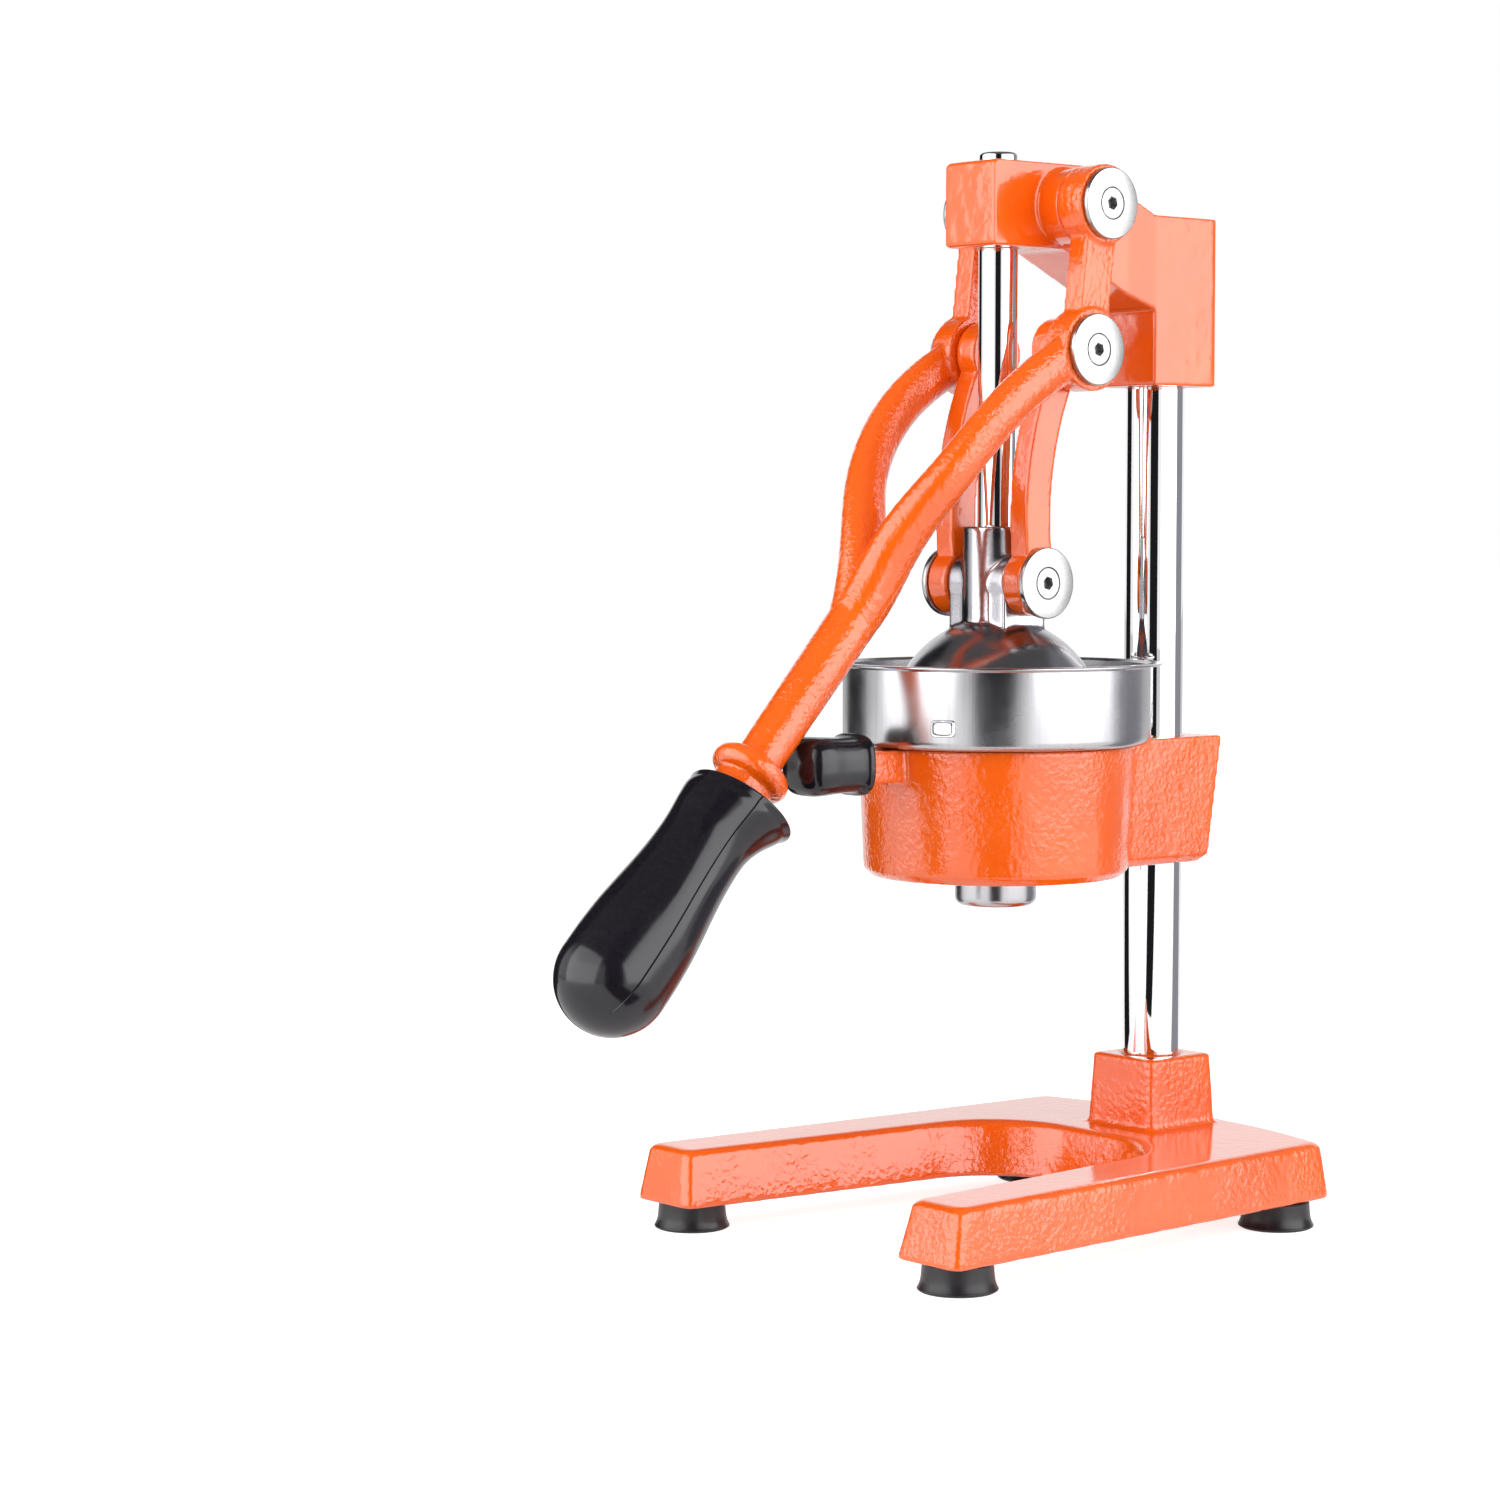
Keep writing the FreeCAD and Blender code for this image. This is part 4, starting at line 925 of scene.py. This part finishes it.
@dataclass
class Perforation:
    """Geometry node tree of a round plate with rings of holes."""

    radius: float
    bore: float
    thick: float
    hole: float
    material: bpy.types.Material
    place: Vector

    def grow(self, piece: bpy.types.Object, rows: Sequence[tuple[float, int]]) -> None:
        """Adds the tree to a piece.

        Args:
            piece: the piece that gets the modifier.
            rows: radius in millimetres and number of holes of each ring.
        """
        tree = bpy.data.node_groups.new("perforated_plate", "GeometryNodeTree")
        sizes = {"Radius": self.radius, "Bore": self.bore, "Thickness": self.thick, "Hole": self.hole}
        sockets = {name: tree.interface.new_socket(name, in_out="INPUT", socket_type="NodeSocketFloat")
                   for name in sizes}
        tree.interface.new_socket("Geometry", in_out="OUTPUT", socket_type="NodeSocketGeometry")
        inputs = tree.nodes.new("NodeGroupInput")
        join = tree.nodes.new("GeometryNodeJoinGeometry")
        for name in ("Radius", "Bore"):
            circle = self.circle(tree, 144)
            tree.links.new(inputs.outputs[name], circle.inputs["Radius"])
            tree.links.new(circle.outputs["Curve"], join.inputs["Geometry"])
        for row, count in rows:
            self.row(tree, inputs, join, row * MM, count)
        fill = tree.nodes.new("GeometryNodeFillCurve")
        extrude = tree.nodes.new("GeometryNodeExtrudeMesh")
        extrude.inputs["Individual"].default_value = False
        back = tree.nodes.new("GeometryNodeJoinGeometry")
        flip = tree.nodes.new("GeometryNodeFlipFaces")
        move = tree.nodes.new("GeometryNodeTransform")
        move.inputs["Translation"].default_value = self.place
        merge = tree.nodes.new("GeometryNodeMergeByDistance")
        merge.inputs["Distance"].default_value = 1e-6
        real = tree.nodes.new("GeometryNodeRealizeInstances")
        dress = tree.nodes.new("GeometryNodeSetMaterial")
        dress.inputs["Material"].default_value = self.material
        output = tree.nodes.new("NodeGroupOutput")
        tree.links.new(join.outputs[0], fill.inputs["Curve"])
        tree.links.new(fill.outputs["Mesh"], extrude.inputs["Mesh"])
        tree.links.new(inputs.outputs["Thickness"], extrude.inputs["Offset Scale"])
        tree.links.new(fill.outputs["Mesh"], flip.inputs["Mesh"])
        tree.links.new(extrude.outputs["Mesh"], back.inputs["Geometry"])
        tree.links.new(flip.outputs["Mesh"], back.inputs["Geometry"])
        tree.links.new(back.outputs[0], merge.inputs["Geometry"])
        tree.links.new(merge.outputs["Geometry"], move.inputs["Geometry"])
        tree.links.new(move.outputs["Geometry"], real.inputs["Geometry"])
        tree.links.new(real.outputs["Geometry"], dress.inputs["Geometry"])
        tree.links.new(dress.outputs["Geometry"], output.inputs[0])
        modifier = piece.modifiers.new("perforations", "NODES")
        modifier.node_group = tree
        for name, socket in sockets.items():
            modifier[socket.identifier] = sizes[name]

    @staticmethod
    def circle(tree: bpy.types.NodeTree, points: int) -> bpy.types.Node:
        """Curve circle node with a number of points."""
        circle = tree.nodes.new("GeometryNodeCurvePrimitiveCircle")
        circle.inputs["Resolution"].default_value = points
        return circle

    def row(self, tree: bpy.types.NodeTree, inputs: bpy.types.Node, join: bpy.types.Node, radius: float,
            count: int) -> None:
        """Adds one ring of holes to the tree."""
        ring = tree.nodes.new("GeometryNodeMeshCircle")
        ring.inputs["Vertices"].default_value = count
        ring.inputs["Radius"].default_value = radius
        hole = self.circle(tree, 14)
        tree.links.new(inputs.outputs["Hole"], hole.inputs["Radius"])
        spread = tree.nodes.new("GeometryNodeInstanceOnPoints")
        real = tree.nodes.new("GeometryNodeRealizeInstances")
        tree.links.new(ring.outputs["Mesh"], spread.inputs["Points"])
        tree.links.new(hole.outputs["Curve"], spread.inputs["Instance"])
        tree.links.new(spread.outputs["Instances"], real.inputs["Geometry"])
        tree.links.new(real.outputs["Geometry"], join.inputs["Geometry"])


# ---------------------------------------------------------------------------------------------
# Studio
# ---------------------------------------------------------------------------------------------
@dataclass
class Studio:
    """Camera, floor, lamps, cards and world."""

    camera_place: Vector = field(default_factory=lambda: Vector((0.99213, AXIS_Y - 0.93881, 0.267145)))
    camera_turn: float = 50.463
    camera_tilt: float = 3.608
    lens: float = 87.24
    floor_size: float = 30.0
    aim_height: float = 0.2
    floor_mirrored: float = 0.45
    card_start: float = 0.25
    dark_from: tuple[float, float] = (0.42, 0.62)

    def build(self) -> None:
        """Builds the studio."""
        self.camera()
        self.floor()
        self.world()
        self.softbox("key_left", -60, 0.72, 1.5, (2.0, 1.6), 2.2)
        self.softbox("key_right", 60, 0.55, 1.5, (2.0, 1.3), 2.5)
        self.softbox("top", 10, 1.9, 0.5, (1.4, 1.4), 1.6, False)
        self.card("front_flag", 0, 0.85, 0.48, 1.2, 0.012)
        self.card("left_flag", -128, 0.9, 0.55, 1.2, 0.01)
        self.card("right_flag", 116, 0.9, 0.6, 1.2, 0.28)

    def camera(self) -> None:
        """Adds the camera."""
        data = bpy.data.cameras.new("camera")
        data.lens = self.lens
        data.sensor_width = 36.0
        data.clip_end = 50.0
        camera = bpy.data.objects.new("camera", data)
        camera.location = self.camera_place
        camera.rotation_euler = (math.radians(90 - self.camera_tilt), 0, math.radians(self.camera_turn))
        bpy.context.scene.collection.objects.link(camera)
        bpy.context.scene.camera = camera

    def around(self, turn: float, height: float, distance: float) -> Vector:
        """Place round the press; turn is in degrees to the right of the camera."""
        azimuth = math.radians(self.camera_turn - 4 + turn)
        return Vector((math.sin(azimuth) * distance, AXIS_Y - math.cos(azimuth) * distance, height))

    def softbox(self, name: str, turn: float, height: float, distance: float, size: tuple[float, float],
                radiance: float, mirrored: bool = True) -> None:
        """Adds an area lamp that faces the press.

        Args:
            name: name of the lamp.
            turn: degrees to the right of the camera.
            height: metres above the floor.
            distance: metres from the press, along the floor.
            size: width and height.
            radiance: brightness of its face.
            mirrored: whether glossy surfaces reflect it.
        """
        data = bpy.data.lights.new(name, "AREA")
        data.shape = "RECTANGLE"
        data.size, data.size_y = size
        data.energy = radiance * math.pi * size[0] * size[1]
        lamp = bpy.data.objects.new(name, data)
        lamp.location = self.around(turn, height, distance)
        lamp.visible_glossy = mirrored
        aim = Vector((0, AXIS_Y, self.aim_height)) - lamp.location
        lamp.rotation_euler = aim.to_track_quat("-Z", "Y").to_euler()
        bpy.context.scene.collection.objects.link(lamp)

    def card(self, name: str, turn: float, distance: float, width: float, height: float, glow: float) -> None:
        """Adds an upright card with a tongue along the floor; only reflections see it.

        Args:
            name: name of the card.
            turn: degrees to the right of the camera.
            distance: metres from the press.
            width: its width.
            height: its height.
            glow: brightness that reflections of it show.
        """
        foot = self.around(turn, 0.001, distance)
        near = self.around(turn, 0.001, distance * self.card_start)
        across = Vector((AXIS_Y - foot.y, foot.x, 0)).normalized() * width / 2
        up = Vector((0, 0, height))
        mesh = bpy.data.meshes.new(name)
        mesh.from_pydata([near - across * self.card_start, near + across * self.card_start, foot + across,
                          foot - across, foot + across + up, foot - across + up],
                         [], [(0, 1, 2, 3), (3, 2, 4, 5)])
        shader = Shader(f"{name}_cloth")
        shader.set(Base_Color=(0, 0, 0, 1), Roughness=1.0, Specular_IOR_Level=0.0, Emission_Strength=1.0,
                   Emission_Color=(glow, glow, glow * 1.1, 1))
        card = mesh_object(name, mesh, shader.material)
        card.visible_camera = card.visible_diffuse = card.visible_shadow = False
        card.visible_transmission = card.visible_volume_scatter = False

    def floor(self) -> None:
        """Adds the pale floor; the camera and mirrors see it white, with the press's shadow."""
        half = self.floor_size / 2
        mesh = bpy.data.meshes.new("floor")
        mesh.from_pydata([(-half, -half, 0), (half, -half, 0), (half, half, 0), (-half, half, 0)], [], [(0, 1, 2, 3)])
        shader = Shader("studio_floor")
        shader.set(Base_Color=(0.82, 0.82, 0.82, 1), Roughness=0.9, Specular_IOR_Level=0.1)
        glow = shader.add("ShaderNodeEmission", Strength=0.8)
        rays = shader.add("ShaderNodeLightPath")
        seen = shader.add("ShaderNodeMath", operation="ADD", use_clamp=True)
        shader.join(rays, "Is Camera Ray", seen, 0)
        half_seen = shader.add("ShaderNodeMath", operation="MULTIPLY", use_clamp=True)
        shader.join(rays, "Is Glossy Ray", half_seen, 0)
        half_seen.inputs[1].default_value = self.floor_mirrored
        shader.join(half_seen, 0, seen, 1)
        more = shader.add("ShaderNodeMath", operation="ADD", use_clamp=True)
        shader.join(seen, 0, more, 0)
        shader.join(rays, "Is Transmission Ray", more, 1)
        both = shader.add("ShaderNodeAddShader")
        shader.join(shader.surface, "BSDF", both, 0)
        shader.join(glow, "Emission", both, 1)
        pick = shader.add("ShaderNodeMixShader")
        shader.join(more, 0, pick, 0)
        shader.join(shader.surface, "BSDF", pick, 1)
        shader.join(both, 0, pick, 2)
        shader.join(pick, 0, shader.output, "Surface")
        mesh_object("floor", mesh, shader.material)

    def world(self) -> None:
        """White surroundings for the camera and mirrors, dimmer light on the press."""
        world = bpy.data.worlds.new("studio")
        world.use_nodes = True
        tree = world.node_tree
        tree.nodes.clear()
        output = tree.nodes.new("ShaderNodeOutputWorld")
        rays = tree.nodes.new("ShaderNodeLightPath")
        seen = tree.nodes.new("ShaderNodeMath")
        seen.operation = "MAXIMUM"
        tree.links.new(rays.outputs["Is Camera Ray"], seen.inputs[0])
        tree.links.new(rays.outputs["Is Glossy Ray"], seen.inputs[1])
        more = tree.nodes.new("ShaderNodeMath")
        more.operation = "MAXIMUM"
        tree.links.new(seen.outputs[0], more.inputs[0])
        tree.links.new(rays.outputs["Is Transmission Ray"], more.inputs[1])
        pick = tree.nodes.new("ShaderNodeMixShader")
        tree.links.new(more.outputs[0], pick.inputs[0])
        for slot, strength in ((1, 0.34), (2, 1.0)):
            sky = tree.nodes.new("ShaderNodeBackground")
            sky.inputs["Color"].default_value = (1, 1, 1, 1)
            sky.inputs["Strength"].default_value = strength
            tree.links.new(sky.outputs[0], pick.inputs[slot])
        self.ceiling(tree, sky)
        tree.links.new(pick.outputs[0], output.inputs["Surface"])
        bpy.context.scene.world = world
        bpy.context.scene.view_settings.view_transform = "Standard"

    def ceiling(self, tree: bpy.types.NodeTree, sky: bpy.types.Node) -> None:
        """Darkens what mirrors see above the lamps."""
        ray = tree.nodes.new("ShaderNodeTexCoord")
        split = tree.nodes.new("ShaderNodeSeparateXYZ")
        fade = tree.nodes.new("ShaderNodeMapRange")
        tree.links.new(ray.outputs["Generated"], split.inputs["Vector"])
        tree.links.new(split.outputs["Z"], fade.inputs["Value"])
        for name, value in zip(("From Min", "From Max", "To Min", "To Max"), self.dark_from + (1.0, 0.12)):
            fade.inputs[name].default_value = value
        tree.links.new(fade.outputs["Result"], sky.inputs["Strength"])


def main() -> None:
    """Builds the studio and every sub-assembly."""
    logging.basicConfig(level=logging.INFO, format="%(name)s: %(message)s")
    Studio().build()
    finishes = Finishes()
    for part in (Frame, Pivots, Lever, Press, Bowl):
        part(finishes).build()


if __name__ == "__main__":
    main()
